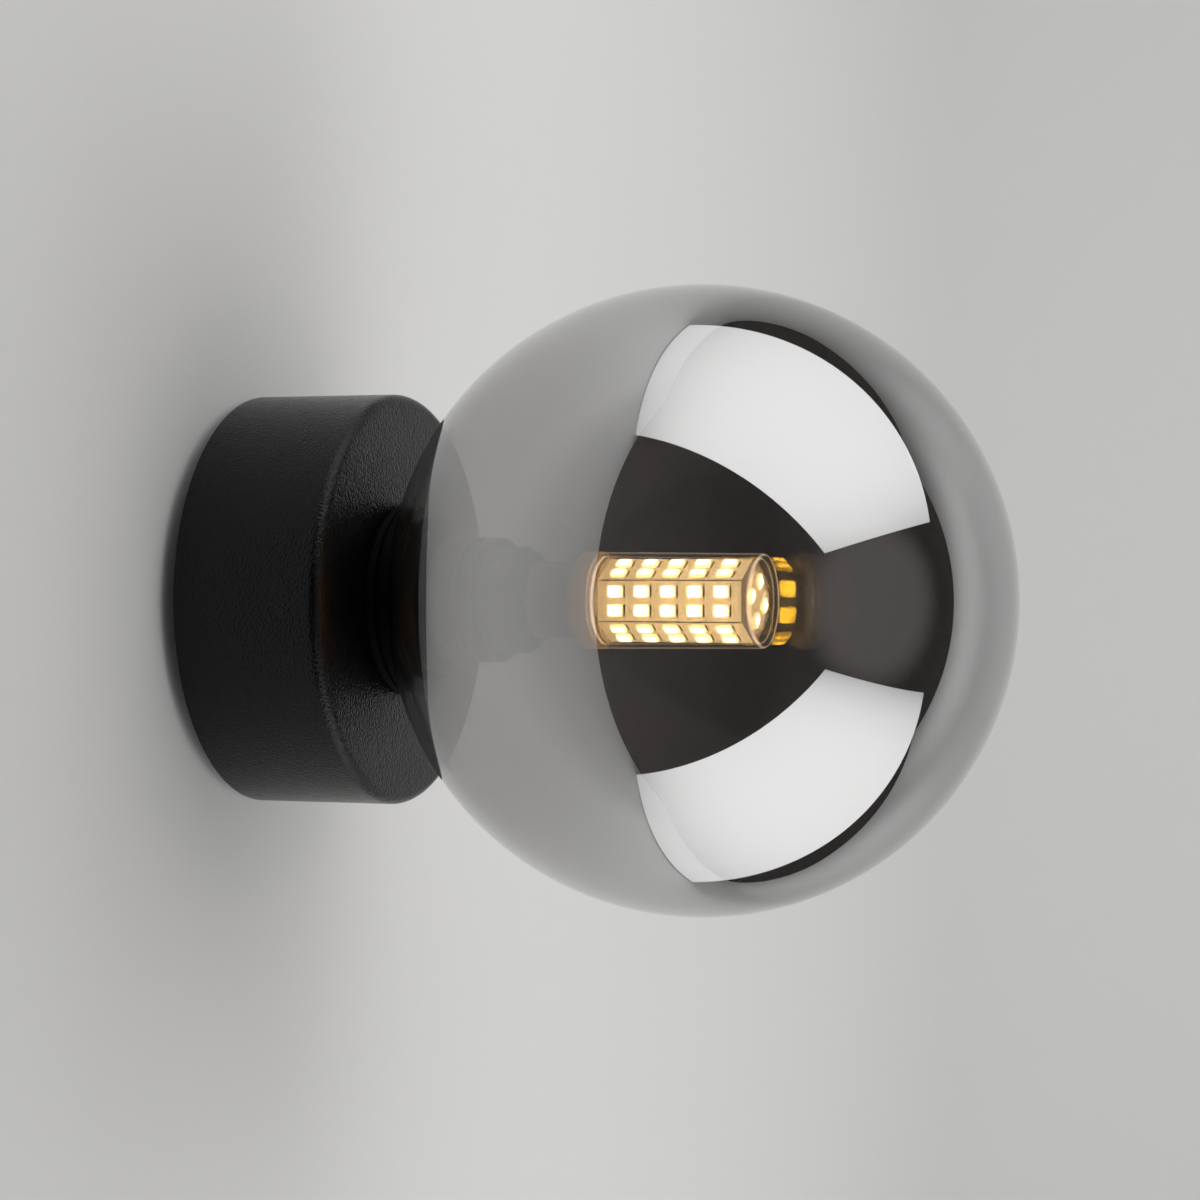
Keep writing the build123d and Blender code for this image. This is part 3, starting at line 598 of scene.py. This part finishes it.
def film_material(name, head_on, tint, from_inside=1.0, mouth_tint=None):
    """Mirror mixed over a tinted clear shader; the mirror grows with the fifth power of slant.

    The back of the surface mirrors only the share from_inside. With a mouth_tint the clear shader
    runs from it at the mouth to tint in the ball's front."""
    material = bpy.data.materials.new(name)
    material.use_nodes = True
    nodes, links = material.node_tree.nodes, material.node_tree.links
    nodes.remove(nodes["Principled BSDF"])
    weight = nodes.new("ShaderNodeLayerWeight")
    weight.inputs["Blend"].default_value = 0.5
    power = nodes.new("ShaderNodeMath")
    power.operation = "POWER"
    power.inputs[1].default_value = SLANT_POWER
    links.new(weight.outputs["Facing"], power.inputs[0])
    share = remap(material, power.outputs["Value"], head_on, 1.0, 0.0, 1.0)
    mirror = nodes.new("ShaderNodeBsdfGlossy")
    mirror.inputs["Roughness"].default_value = 0.0
    side = nodes.new("ShaderNodeNewGeometry")
    strength = remap(material, side.outputs["Backfacing"], 1.0, from_inside, 0.0, 1.0)
    links.new(strength, mirror.inputs["Color"])
    clear = nodes.new("ShaderNodeBsdfTransparent")
    clear.inputs["Color"].default_value = (*tint, 1.0)
    if mouth_tint:
        toward = coordinate(material, "Y")
        toward = remap(material, toward, 0.0, 1.0, -FILM_TINT_OUT * MM, -MOUTH_TINT_OUT * MM)
        links.new(between(material, toward, tint, mouth_tint), clear.inputs["Color"])
    mix = nodes.new("ShaderNodeMixShader")
    links.new(share, mix.inputs["Fac"])
    links.new(clear.outputs["BSDF"], mix.inputs[1])
    links.new(mirror.outputs["BSDF"], mix.inputs[2])
    links.new(mix.outputs["Shader"], nodes["Material Output"].inputs["Surface"])
    return material


smoked_film = film_material("smoked_film", FILM_MIRROR, FILM_TINT, FILM_FROM_INSIDE, MOUTH_TINT)
plain_inside = film_material("glass_inside", CLEAR_SHINE, (0.98, 0.98, 0.98))
paint(glass_ball, smoked_film)
glass_ball.data.materials.append(plain_inside)
centre = np.array([0.0, -BALL_OUT * MM, 0.0])
middles = np.zeros(len(glass_ball.data.polygons) * 3)
glass_ball.data.polygons.foreach_get("center", middles)
away = np.linalg.norm(middles.reshape(-1, 3) - centre, axis=1)
inner_face = (away < (BALL_R - GLASS_WALL / 2) * MM).astype(np.int32)
glass_ball.data.polygons.foreach_set("material_index", inner_face)
print("inner faces:", int(inner_face.sum()))

# %% [markdown]
# ## Lampholder and collar
# The lampholder's sleeve has a rounded screw thread of 2 mm pitch, and the collar in the glass
# runs on it. A thread is the same outline with a radius that waves along a helix: the wave's
# phase is the distance out over the pitch, less the share of a turn.

# %% Cut the two threads
PITCH = 2.0
THREAD_DEPTH = 0.95
SLEEVE_R = 14.25
SLEEVE_BORE_R = 12.25
THREAD_GAP = 0.3
THREAD_ROW = 0.125
FLANGE_HIGH = 1.2
THREAD_FROM = BASE_FRONT + FLANGE_HIGH + 0.1
SLEEVE_BEVEL = 0.4
FLANGE_R, SLEEVE_BACK, SLEEVE_FRONT = span("threaded_sleeve")


def thread_wave(out, angle):
    """1 on the crest and 0 in the groove of a right-hand helix, with flat tops and round roots."""
    phase = 2 * np.pi * (out / PITCH - angle / (2 * np.pi))
    return 0.5 + 0.5 * np.clip(1.5 * np.cos(phase), -1, 1)


def sleeve_thread(r, out, angle):
    """Groove below the sleeve's outer face, fading in over one pitch at each end."""
    fade_in = np.clip((out - THREAD_FROM - 0.1) / PITCH, 0, 1)
    fade_out = np.clip((SLEEVE_FRONT - SLEEVE_BEVEL - out) / PITCH + 0.3, 0, 1)
    outer = (r > SLEEVE_R - 0.01) & (r < SLEEVE_R + 0.01) & (out > THREAD_FROM)
    return np.where(outer, -THREAD_DEPTH * fade_in * fade_out * (1 - thread_wave(out, angle)), 0.0)


thread_rows = [
    (SLEEVE_R, out) for out in np.arange(THREAD_FROM, SLEEVE_FRONT - SLEEVE_BEVEL, THREAD_ROW)]
sleeve_outline = np.array([
    (SLEEVE_BORE_R, SLEEVE_BACK), (SLEEVE_R, SLEEVE_BACK), (SLEEVE_R, BASE_FRONT),
    (FLANGE_R, BASE_FRONT), (FLANGE_R, BASE_FRONT + FLANGE_HIGH),
    (SLEEVE_R, BASE_FRONT + FLANGE_HIGH), *thread_rows,
    (SLEEVE_R, SLEEVE_FRONT - SLEEVE_BEVEL), (SLEEVE_R - SLEEVE_BEVEL, SLEEVE_FRONT),
    (SLEEVE_BORE_R, SLEEVE_FRONT)])
holder_sleeve = turned("holder_sleeve", sleeve_outline, segments=144, swell=sleeve_thread)
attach(holder_sleeve, "base")
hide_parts("threaded_sleeve")
print("sleeve faces:", len(holder_sleeve.data.polygons))

# %% Make the collar with its inner thread
COLLAR_R, COLLAR_BACK, COLLAR_FRONT = span("globe_collar")
SPIGOT_R = 19.3
SPIGOT_FRONT = RIM_OUT + 2.3
LIP_R = 16.2
COLLAR_BORE_R = SLEEVE_R + THREAD_GAP
RIDGE_HIGH = THREAD_DEPTH - 0.25


def collar_thread(r, out, angle):
    """Ridge that stands in the sleeve's groove with the running gap between them."""
    fade_in = np.clip((out - COLLAR_BACK - 0.3) / PITCH, 0, 1)
    fade_out = np.clip((COLLAR_FRONT - 0.3 - out) / PITCH, 0, 1)
    bore = r < COLLAR_BORE_R + 0.01
    return np.where(bore, -RIDGE_HIGH * fade_in * fade_out * (1 - thread_wave(out, angle)), 0.0)


bore_rows = [
    (COLLAR_BORE_R, out) for out in np.arange(COLLAR_FRONT, COLLAR_BACK - 0.01, -THREAD_ROW)]
collar_body = rounded([
    (COLLAR_R, COLLAR_BACK, 0.3), (COLLAR_R, RIM_OUT, 0.0), (SPIGOT_R, RIM_OUT, 0.0),
    (SPIGOT_R, SPIGOT_FRONT, 0.6), (LIP_R, SPIGOT_FRONT, 0.0), (LIP_R, COLLAR_FRONT, 0.6)])
collar_outline = np.concatenate([collar_body, bore_rows])
glass_collar = turned("glass_collar", collar_outline, segments=144, swell=collar_thread)
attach(glass_collar, "globe")
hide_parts("globe_collar")
print("collar faces:", len(glass_collar.data.polygons))

# %% [markdown]
# The lampholder's plastic is dark grey and glossy, and the film on the ball dims it further. The
# collar and the seal are a dull black, so the gap behind the ball stays dark.

# %% Finish the lampholder's plastics
HOLDER_GREY = (0.13, 0.13, 0.128)
holder_plastic = new_material("holder_plastic", HOLDER_GREY, 0.16, Specular_IOR_Level=1.0)
vary_colour(
    holder_plastic, noise(holder_plastic, 6.0), (0.115, 0.115, 0.112), (0.145, 0.145, 0.142))
vary_roughness(holder_plastic, noise(holder_plastic, 2.0), 0.12, 0.20)
add_bump(holder_plastic, noise(holder_plastic, 0.5), 0.01, 0.5)
paint(holder_sleeve, holder_plastic)

DULL_BLACK = (0.006, 0.006, 0.006)
collar_plastic = new_material("collar_plastic", DULL_BLACK, 0.45, Specular_IOR_Level=0.12)
vary_roughness(collar_plastic, noise(collar_plastic, 2.0), 0.38, 0.52)
add_bump(collar_plastic, noise(collar_plastic, 0.4), 0.01, 0.5)
paint(glass_collar, collar_plastic)

# %% [markdown]
# ## Bulb
# Six narrow circuit boards stand in a ring. Each carries two columns of LED chips, and four more
# chips sit on the end board. A milky cup carries them, and a clear cover closes the lamp. The
# cover narrows by half a degree so that it could leave its mould, and its end shows a small
# ring and the stub where the plastic ran in. Both pieces are turned.

# %% Turn the cover and the cup
COVER_R, COVER_BACK, COVER_FRONT = span("bulb_cover")
CUP_R, FOOT_BACK, CUP_TOP = span("bulb_base")
COVER_WALL = 0.95
COVER_END = 1.0
DRAFT = math.radians(0.5)
COVER_TIP_R = COVER_R - (COVER_FRONT - COVER_BACK) * math.tan(DRAFT)
GATE_R = 0.8
GATE_H = 0.2
GATE_RING_R = 1.9
GATE_RING_H = 0.12
END_OUT = COVER_FRONT - GATE_H

cover_outline = rounded([
    (COVER_R, COVER_BACK, 0.0), (COVER_TIP_R, END_OUT, 0.9), (GATE_RING_R, END_OUT, 0.0),
    (GATE_RING_R - 0.15, END_OUT + GATE_RING_H, 0.0), (GATE_R, END_OUT + GATE_RING_H, 0.0),
    (GATE_R, COVER_FRONT, 0.0), (0.0, COVER_FRONT, 0.0), (0.0, END_OUT - COVER_END, 0.0),
    (COVER_TIP_R - COVER_WALL, END_OUT - COVER_END, 0.5),
    (COVER_R - COVER_WALL, COVER_BACK, 0.0)])


def denser(outline, step):
    """The closed outline with points added so that none of its sides is longer than step."""
    closed = np.concatenate([outline, outline[:1]])
    sides = np.diff(closed, axis=0)
    counts = np.ceil(np.linalg.norm(sides, axis=1) / step).astype(int).clip(1)
    return np.concatenate([
        start + side * (np.arange(n) / n)[:, None]
        for start, side, n in zip(outline, sides, counts)])


clear_cover = turned("clear_cover", denser(cover_outline, 0.5), segments=128)
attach(clear_cover, "bulb")
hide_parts("bulb_cover")

NECK_R = 8.6
NECK_WALL = 1.6
FOOT_FLOOR = 3.0
CUP_BACK = FOOT_BACK + 11.1
SPIGOT_IN_COVER_R = COVER_R - COVER_WALL - 0.1
cup_outline = rounded([
    (0.0, FOOT_BACK, 0.0), (NECK_R, FOOT_BACK, 0.8), (NECK_R, CUP_BACK, 0.7),
    (CUP_R, CUP_BACK, 1.2), (CUP_R, COVER_BACK, 0.15), (SPIGOT_IN_COVER_R, COVER_BACK, 0.0),
    (SPIGOT_IN_COVER_R, CUP_TOP, 0.2), (NECK_R - NECK_WALL, CUP_TOP, 0.0),
    (NECK_R - NECK_WALL, FOOT_BACK + FOOT_FLOOR, 0.0), (0.0, FOOT_BACK + FOOT_FLOOR, 0.0)])
milky_cup = turned("milky_cup", cup_outline, segments=128)
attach(milky_cup, "bulb")
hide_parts("bulb_base")
print("cover faces:", len(clear_cover.data.polygons), "cup faces:", len(milky_cup.data.polygons))

# %% [markdown]
# Light from the chips runs inside the cover's wall and leaves it at the moulded edges, which
# draw thin warm lines. A number stored on each point says how near it is to such an edge, and
# the finish glows by it. Mirrors don't show this glow, as in the picture. The milky cup glows
# where it meets the cover and fades towards its neck.

# %% Finish the cover
EDGE_GLOW = (1.0, 0.77, 0.50)
EDGE_STRENGTH = 3.6
EDGE_WIDTH = 0.26
SLANT_FROM = 0.72
SLANT_GLOW_LOW = 0.02
SLANT_GLOW_HIGH = 0.42
COVER_TINT = (0.965, 0.955, 0.935)
UNLIT = (0.0, 0.0, 0.0)


def edge_share(piece):
    """Point attribute: 1 at the cover's moulded edges, falling off as a bell over EDGE_WIDTH."""
    count = len(piece.data.vertices)
    points = np.zeros(count * 3)
    piece.data.vertices.foreach_get("co", points)
    points = points.reshape(-1, 3) / MM
    r, out = np.hypot(points[:, 0], points[:, 2]), -points[:, 1]
    edges = np.array([
        (COVER_TIP_R - 0.15, END_OUT - 0.25), (COVER_TIP_R - COVER_WALL - 0.1, END_OUT - 1.1),
        (COVER_R - COVER_WALL, COVER_BACK + 1.0), (GATE_RING_R, END_OUT), (GATE_R, COVER_FRONT)])
    away = np.hypot(r[:, None] - edges[:, 0], out[:, None] - edges[:, 1]).min(axis=1)
    share = np.exp(-(away / EDGE_WIDTH) ** 2).astype(np.float32)
    piece.data.attributes.new("edge", "FLOAT", "POINT").data.foreach_set("value", share)


def edge_lit_plastic(name):
    """Clear plastic that shines like a window and glows where its edges pipe the chips' light."""
    material = film_material(name, CLEAR_SHINE, COVER_TINT)
    nodes, links = material.node_tree.nodes, material.node_tree.links
    edge = nodes.new("ShaderNodeAttribute")
    edge.attribute_name = "edge"
    weight = nodes.new("ShaderNodeLayerWeight")
    facing = weight.outputs["Facing"]
    slant = remap(material, facing, SLANT_GLOW_LOW, SLANT_GLOW_HIGH, SLANT_FROM, 1.0)
    share = nodes.new("ShaderNodeMath")
    share.operation = "ADD"
    links.new(edge.outputs["Fac"], share.inputs[0])
    links.new(slant, share.inputs[1])
    ray = nodes.new("ShaderNodeLightPath")
    colour = between(material, ray.outputs["Is Glossy Ray"], EDGE_GLOW, UNLIT)
    glow = nodes.new("ShaderNodeEmission")
    links.new(colour, glow.inputs["Color"])
    strength = remap(material, share.outputs["Value"], 0.0, EDGE_STRENGTH, 0.0, 1.0)
    links.new(strength, glow.inputs["Strength"])
    both = nodes.new("ShaderNodeAddShader")
    output = nodes["Material Output"]
    links.new(output.inputs["Surface"].links[0].from_socket, both.inputs[0])
    links.new(glow.outputs["Emission"], both.inputs[1])
    links.new(both.outputs["Shader"], output.inputs["Surface"])
    return material


edge_share(clear_cover)
clear_plastic = edge_lit_plastic("clear_plastic")
paint(clear_cover, clear_plastic)

# %% Finish the cup
CUP_MILK = (0.74, 0.70, 0.62)
CUP_GLOW = (0.9, 0.5, 0.2)
milk_plastic = new_material("milk_plastic", CUP_MILK, 0.35, Emission_Strength=0.8)
vary_roughness(milk_plastic, noise(milk_plastic, 1.5), 0.28, 0.42)
nodes, links = milk_plastic.node_tree.nodes, milk_plastic.node_tree.links
toward = coordinate(milk_plastic, "Y")
toward = remap(milk_plastic, toward, 0.0, 1.0, -(CUP_BACK - 1.0) * MM, -CUP_TOP * MM)
warm = between(milk_plastic, toward, UNLIT, CUP_GLOW)
links.new(warm, nodes["Principled BSDF"].inputs["Emission Color"])
paint(milky_cup, milk_plastic)

# %% [markdown]
# ## LED chips
# A chip is a white moulded tray with a window of yellow phosphor. Lit, the window is far
# brighter than anything else here. Beside it a thin flat dark pad lies on the board. One tray,
# one window and one pad are worked out as rings of points on a rounded rectangle, and the rings
# are then placed on every board at once with whole arrays.

# %% Work out one chip
LED_LONG = 3.5
LED_WIDE = 2.8
LED_HIGH = 0.7
RING_POINTS = 20


def rounded_ring(long, wide, height):
    """Ring on a superellipse of power 5: |u / long|^5 + |v / wide|^5 = 1 at one height."""
    t = (np.arange(RING_POINTS) + 0.5) * 2 * np.pi / RING_POINTS
    u = long / 2 * np.sign(np.cos(t)) * np.abs(np.cos(t)) ** 0.4
    v = wide / 2 * np.sign(np.sin(t)) * np.abs(np.sin(t)) ** 0.4
    return np.stack([u, v, np.full(RING_POINTS, height)], -1)


def ring_stack(rings, cap):
    """Points and faces of rings joined in order; cap closes the last ring with one face."""
    points = np.concatenate(rings)
    quads = grid_faces(len(rings), RING_POINTS, False).tolist()
    if cap:
        quads.append(list(range((len(rings) - 1) * RING_POINTS, len(rings) * RING_POINTS)))
    return points, quads


# The tray's rings go up its side, over the edge and down into its mouth. The window's rings
# get smaller and a little higher, so it bulges. The pad's are low and lie at the tray's end.
tray_part = ring_stack([
    rounded_ring(LED_LONG, LED_WIDE, 0.0), rounded_ring(LED_LONG, LED_WIDE, LED_HIGH - 0.1),
    rounded_ring(LED_LONG - 0.16, LED_WIDE - 0.16, LED_HIGH), rounded_ring(3.2, 2.52, LED_HIGH),
    rounded_ring(3.08, 2.42, LED_HIGH - 0.1)], cap=False)
window_part = ring_stack([
    rounded_ring(3.1, 2.44, LED_HIGH - 0.1), rounded_ring(2.5, 1.9, LED_HIGH - 0.08),
    rounded_ring(1.2, 1.0, LED_HIGH - 0.07)], cap=True)
PAD_LONG = 0.4
PAD_HIGH = 0.04
PAD_GAP = 0.18
pad_place = [(LED_LONG + PAD_LONG) / 2 + PAD_GAP, 0, 0]
pad_part = ring_stack([
    rounded_ring(PAD_LONG, LED_WIDE, 0.0) + pad_place,
    rounded_ring(PAD_LONG - 0.05, LED_WIDE - 0.05, PAD_HIGH) + pad_place], cap=True)

# %% Place the chips on the boards
BOARD_LOW, BOARD_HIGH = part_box("bulb_boards")
BOARD_APOTHEM = (BOARD_HIGH.x - BOARD_LOW.x) / 2 / MM
LED_BACK = -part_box("bulb_side_leds")[1].y / MM
LED_FRONT = -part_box("bulb_side_leds")[0].y / MM
LED_ROWS = 5
LED_COLUMN = 4.22
END_BOARD_FRONT = -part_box("bulb_end_board")[0].y / MM
END_SPREAD = 6.2
END_TURN = math.radians(30)


def chip_frames():
    """Origins and (long, across, outward) axes of every chip, as arrays of (n, 3) and (n, 3, 3)."""
    origins, axes = [], []
    outs = np.linspace(LED_BACK + LED_LONG / 2, LED_FRONT - LED_LONG / 2, LED_ROWS)
    for facet in np.radians(np.arange(6) * 60):
        outward = np.array([np.cos(facet), 0.0, np.sin(facet)])
        across = np.array([-np.sin(facet), 0.0, np.cos(facet)])
        for out in outs:
            for side in (0.5, -0.5):
                origins.append(outward * BOARD_APOTHEM + across * side * LED_COLUMN - [0, out, 0])
                axes.append([[0.0, -1.0, 0.0], across, outward])
    along = [math.cos(END_TURN), 0.0, math.sin(END_TURN)]
    across = [-math.sin(END_TURN), 0.0, math.cos(END_TURN)]
    for spoke in np.radians(45 + 90 * np.arange(4)) + END_TURN:
        reach = END_SPREAD / math.sqrt(2)
        origins.append([np.cos(spoke) * reach, -END_BOARD_FRONT, np.sin(spoke) * reach])
        axes.append([along, across, [0.0, -1.0, 0.0]])
    return np.array(origins), np.array(axes)


def repeated(name, part, origins, axes):
    """One mesh with the part at every frame: point = origin + u long + v across + w outward."""
    points, faces = part
    placed = origins[:, None, :] + np.einsum("pk,nkd->npd", points, axes)
    offsets = np.arange(len(origins)) * len(points)
    all_faces = [[v + int(o) for v in face] for o in offsets for face in faces]
    return mesh_object(name, placed.reshape(-1, 3) * MM, all_faces, 40.0)


chip_origins, chip_axes = chip_frames()
led_trays = repeated("led_trays", tray_part, chip_origins, chip_axes)
led_windows = repeated("led_windows", window_part, chip_origins, chip_axes)
dark_pads = repeated("dark_pads", pad_part, chip_origins, chip_axes)
for piece, slot in (
    (led_trays, "led_light"), (led_windows, "led_light"), (dark_pads, "tinned_copper"),
):
    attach(piece, "bulb")
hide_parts("bulb_side_leds", "bulb_end_leds")
print("chips:", len(chip_origins))

# %% [markdown]
# Lit surfaces give off light through the shader's own emission. In the picture, the chips'
# mirror images in the ball are a deep yellow, so each lit finish has a second colour that only
# mirrors show. Light Path tells a mirror's ray from the camera's.

# %% Light the chips
def glowing(name, colour, roughness, glow, in_mirror, strength):
    """Lit surface that looks dimmer and yellower in a mirror, as the camera sees it there."""
    material = new_material(name, colour, roughness, Emission_Strength=strength)
    nodes, links = material.node_tree.nodes, material.node_tree.links
    ray = nodes.new("ShaderNodeLightPath")
    colour = between(material, ray.outputs["Is Glossy Ray"], glow, in_mirror)
    links.new(colour, nodes["Principled BSDF"].inputs["Emission Color"])
    return material


led_white = glowing("led_tray", (0.85, 0.74, 0.52), 0.5, (1.0, 0.72, 0.30), (0.9, 0.50, 0.015), 12.0)
paint(led_trays, led_white)
phosphor = glowing("lit_phosphor", (0.9, 0.7, 0.3), 0.5, (1.0, 0.87, 0.66), (1.9, 1.12, 0.05), 22.0)
paint(led_windows, phosphor)
# A thin flat pad beside each chip, dark brown and partly metallic.
dark_pad_finish = new_material("dark_pad", (0.10, 0.06, 0.03), 0.5, 0.6)
vary_roughness(dark_pad_finish, noise(dark_pad_finish, 0.4), 0.4, 0.6)
paint(dark_pads, dark_pad_finish)

# %% [markdown]
# The boards are cream, and the chips light them. That light is worked out here as a glow of
# their own that dims towards the cup, and towards the rim of the end board. The boards' cut edges
# get none of it, so the seams between the boards stay dark.

# %% Finish the boards
BOARD_IN_MIRROR = (0.02, 0.012, 0.004)
board_cream = glowing(
    "board_cream", (0.62, 0.50, 0.34), 0.5, (1.0, 0.74, 0.37), BOARD_IN_MIRROR, 5.1)
vary_colour(board_cream, noise(board_cream, 2.5), (0.56, 0.44, 0.29), (0.68, 0.56, 0.40))
board_tan = glowing(
    "end_board_tan", (0.50, 0.38, 0.24), 0.5, (1.0, 0.74, 0.45), BOARD_IN_MIRROR, 4.8)
vary_colour(board_tan, noise(board_tan, 2.5), (0.42, 0.31, 0.19), (0.52, 0.40, 0.26))
board_edge = new_material("cut_board_edge", (0.12, 0.075, 0.035), 0.6)
vary_colour(board_edge, noise(board_edge, 0.8), (0.09, 0.055, 0.025), (0.15, 0.095, 0.045))


def dim_along(material, low, start, end, direction):
    """The lit colour is scaled from low to 1 as a point's reach goes from start to end, in mm.

    The reach is the length of the object coordinates once each is multiplied by direction."""
    nodes, links = material.node_tree.nodes, material.node_tree.links
    place = nodes.new("ShaderNodeTexCoord")
    along = nodes.new("ShaderNodeVectorMath")
    along.operation = "MULTIPLY"
    along.inputs[1].default_value = direction
    reach = nodes.new("ShaderNodeVectorMath")
    reach.operation = "LENGTH"
    scaled = nodes.new("ShaderNodeVectorMath")
    scaled.operation = "SCALE"
    links.new(place.outputs["Object"], along.inputs[0])
    links.new(along.outputs["Vector"], reach.inputs[0])
    share = remap(material, reach.outputs["Value"], low, 1.0, start * MM, end * MM)
    links.new(share, scaled.inputs["Scale"])
    lit = nodes["Principled BSDF"].inputs["Emission Color"]
    links.new(lit.links[0].from_socket, scaled.inputs[0])
    links.new(scaled.outputs["Vector"], lit)


AXIAL = (0, 1, 0)
RADIAL = (1, 0, 1)
dim_along(board_cream, 0.72, FOOT_BACK + 18.0, FOOT_BACK + 34.0, AXIAL)
dim_along(board_tan, 0.25, 7.6, 6.2, RADIAL)


def unlit_edges(piece, edge_material):
    """Faces that look neither out from the axis nor forwards show the board's cut edge."""
    count = len(piece.data.polygons)
    centres, normals = np.zeros(count * 3), np.zeros(count * 3)
    piece.data.polygons.foreach_get("center", centres)
    piece.data.polygons.foreach_get("normal", normals)
    centres, normals = centres.reshape(-1, 3), normals.reshape(-1, 3)
    away = centres * [1, 0, 1] / np.hypot(centres[:, 0], centres[:, 2])[:, None]
    lit = (np.einsum("ij,ij->i", away, normals) > 0.7) | (normals[:, 1] < -0.7)
    piece.data.materials.append(edge_material)
    piece.data.polygons.foreach_set("material_index", (~lit).astype(np.int32))
    print(piece.name, "edge faces:", int((~lit).sum()))

# %% [markdown]
# ## Carried-over pieces
# The remaining pieces are right as they are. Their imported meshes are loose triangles, so each
# gets a merged copy with smooth shading, and a finish of its own.

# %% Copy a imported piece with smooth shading
def smooth_copy(node, body, material, angle=30.0):
    """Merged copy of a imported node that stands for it, smooth below the angle."""
    mesh = NODES[node].data.copy()
    shape = bmesh.new()
    shape.from_mesh(mesh)
    bmesh.ops.remove_doubles(shape, verts=shape.verts, dist=1e-6)
    shape.to_mesh(mesh)
    shape.free()
    mesh.shade_smooth()
    mesh.set_sharp_from_angle(angle=math.radians(angle))
    piece = bpy.data.objects.new(node + "_finished", mesh)
    bpy.context.scene.collection.objects.link(piece)
    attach(piece, body)
    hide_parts(node)
    return paint(piece, material)

# %% Mix the small pieces' finishes
def metal(name, colour, roughness, grain_mm=0.8):
    """Plated metal with a faint cloudy grain."""
    material = new_material(name, colour, roughness, 1.0)
    vary_roughness(material, noise(material, grain_mm), roughness - 0.08, roughness + 0.1)
    vary_colour(material, noise(material, grain_mm * 5), tuple(c * 0.86 for c in colour), colour)
    add_bump(material, noise(material, grain_mm), 0.01, 0.4)
    return material


def plastic(name, colour, roughness, grain_mm=0.6, **sockets):
    """Moulded plastic or rubber with a soft grain."""
    material = new_material(name, colour, roughness, **sockets)
    vary_roughness(material, noise(material, grain_mm * 3), roughness - 0.07, roughness + 0.07)
    vary_colour(material, noise(material, grain_mm * 8), tuple(c * 0.88 for c in colour), colour)
    add_bump(material, noise(material, grain_mm), 0.015, 0.5)
    return material


zinc = metal("zinc_plate", (0.62, 0.62, 0.60), 0.38)
brass = metal("brass", (0.72, 0.53, 0.25), 0.30)
tin = metal("tinned_copper", (0.70, 0.69, 0.66), 0.28)
black_screw = metal("blackened_steel", (0.035, 0.035, 0.037), 0.42)
rubber = plastic("black_rubber", DULL_BLACK, 0.7, Specular_IOR_Level=0.12)
ceramic = plastic("grey_ceramic", (0.15, 0.15, 0.147), 0.25)
block_white = plastic("terminal_white", (0.76, 0.75, 0.71), 0.42)
wire_brown = plastic("brown_insulation", (0.16, 0.07, 0.03), 0.45)
wire_blue = plastic("blue_insulation", (0.03, 0.12, 0.42), 0.45)
wire_earth = plastic("green_yellow_insulation", (0.32, 0.46, 0.04), 0.45)
board_green = plastic("green_board", (0.04, 0.22, 0.10), 0.45)
can_skin = plastic("capacitor_sleeve", (0.04, 0.04, 0.055), 0.35)
chip_black = plastic("moulded_chip", (0.025, 0.025, 0.027), 0.5)

# %% Dress the remaining pieces
BASE_PIECES = {
    "mounting_plate": ("zinc_steel", zinc), "side_screws": ("black_steel", black_screw),
    "cable_grommet": ("black_rubber", rubber), "lock_washer": ("zinc_steel", zinc),
    "lock_nut": ("holder_plastic", holder_plastic), "lampholder_insert": ("holder_ceramic", ceramic),
    "holder_contacts": ("contact_brass", brass), "holder_cap": ("holder_plastic", holder_plastic),
    "live_wire": ("brown_wire", wire_brown), "neutral_wire": ("blue_wire", wire_blue),
    "earth_wire": ("earth_wire", wire_earth), "terminal_block": ("block_plastic", block_white),
    "terminal_tubes": ("contact_brass", brass), "terminal_screws": ("zinc_steel", zinc),
    "block_screw": ("zinc_steel", zinc), "earth_washer": ("zinc_steel", zinc),
    "earth_lug": ("tinned_copper", tin), "earth_screw": ("contact_brass", brass),
}
BULB_PIECES = {
    "bulb_pins": ("tinned_copper", tin), "bulb_boards": ("board_cream", board_cream),
    "bulb_end_board": ("board_cream", board_tan), "bulb_driver_board": ("board_green", board_green),
    "bulb_capacitor": ("capacitor_skin", can_skin), "bulb_driver_chips": ("chip_black", chip_black),
}
for node, (slot, material) in BASE_PIECES.items():
    smooth_copy(node, "base", material)
for node, (slot, material) in BULB_PIECES.items():
    piece = smooth_copy(node, "bulb", material)
    if node in ("bulb_boards", "bulb_end_board"):
        unlit_edges(piece, board_edge)
smooth_copy("glass_seal", "seal", rubber)
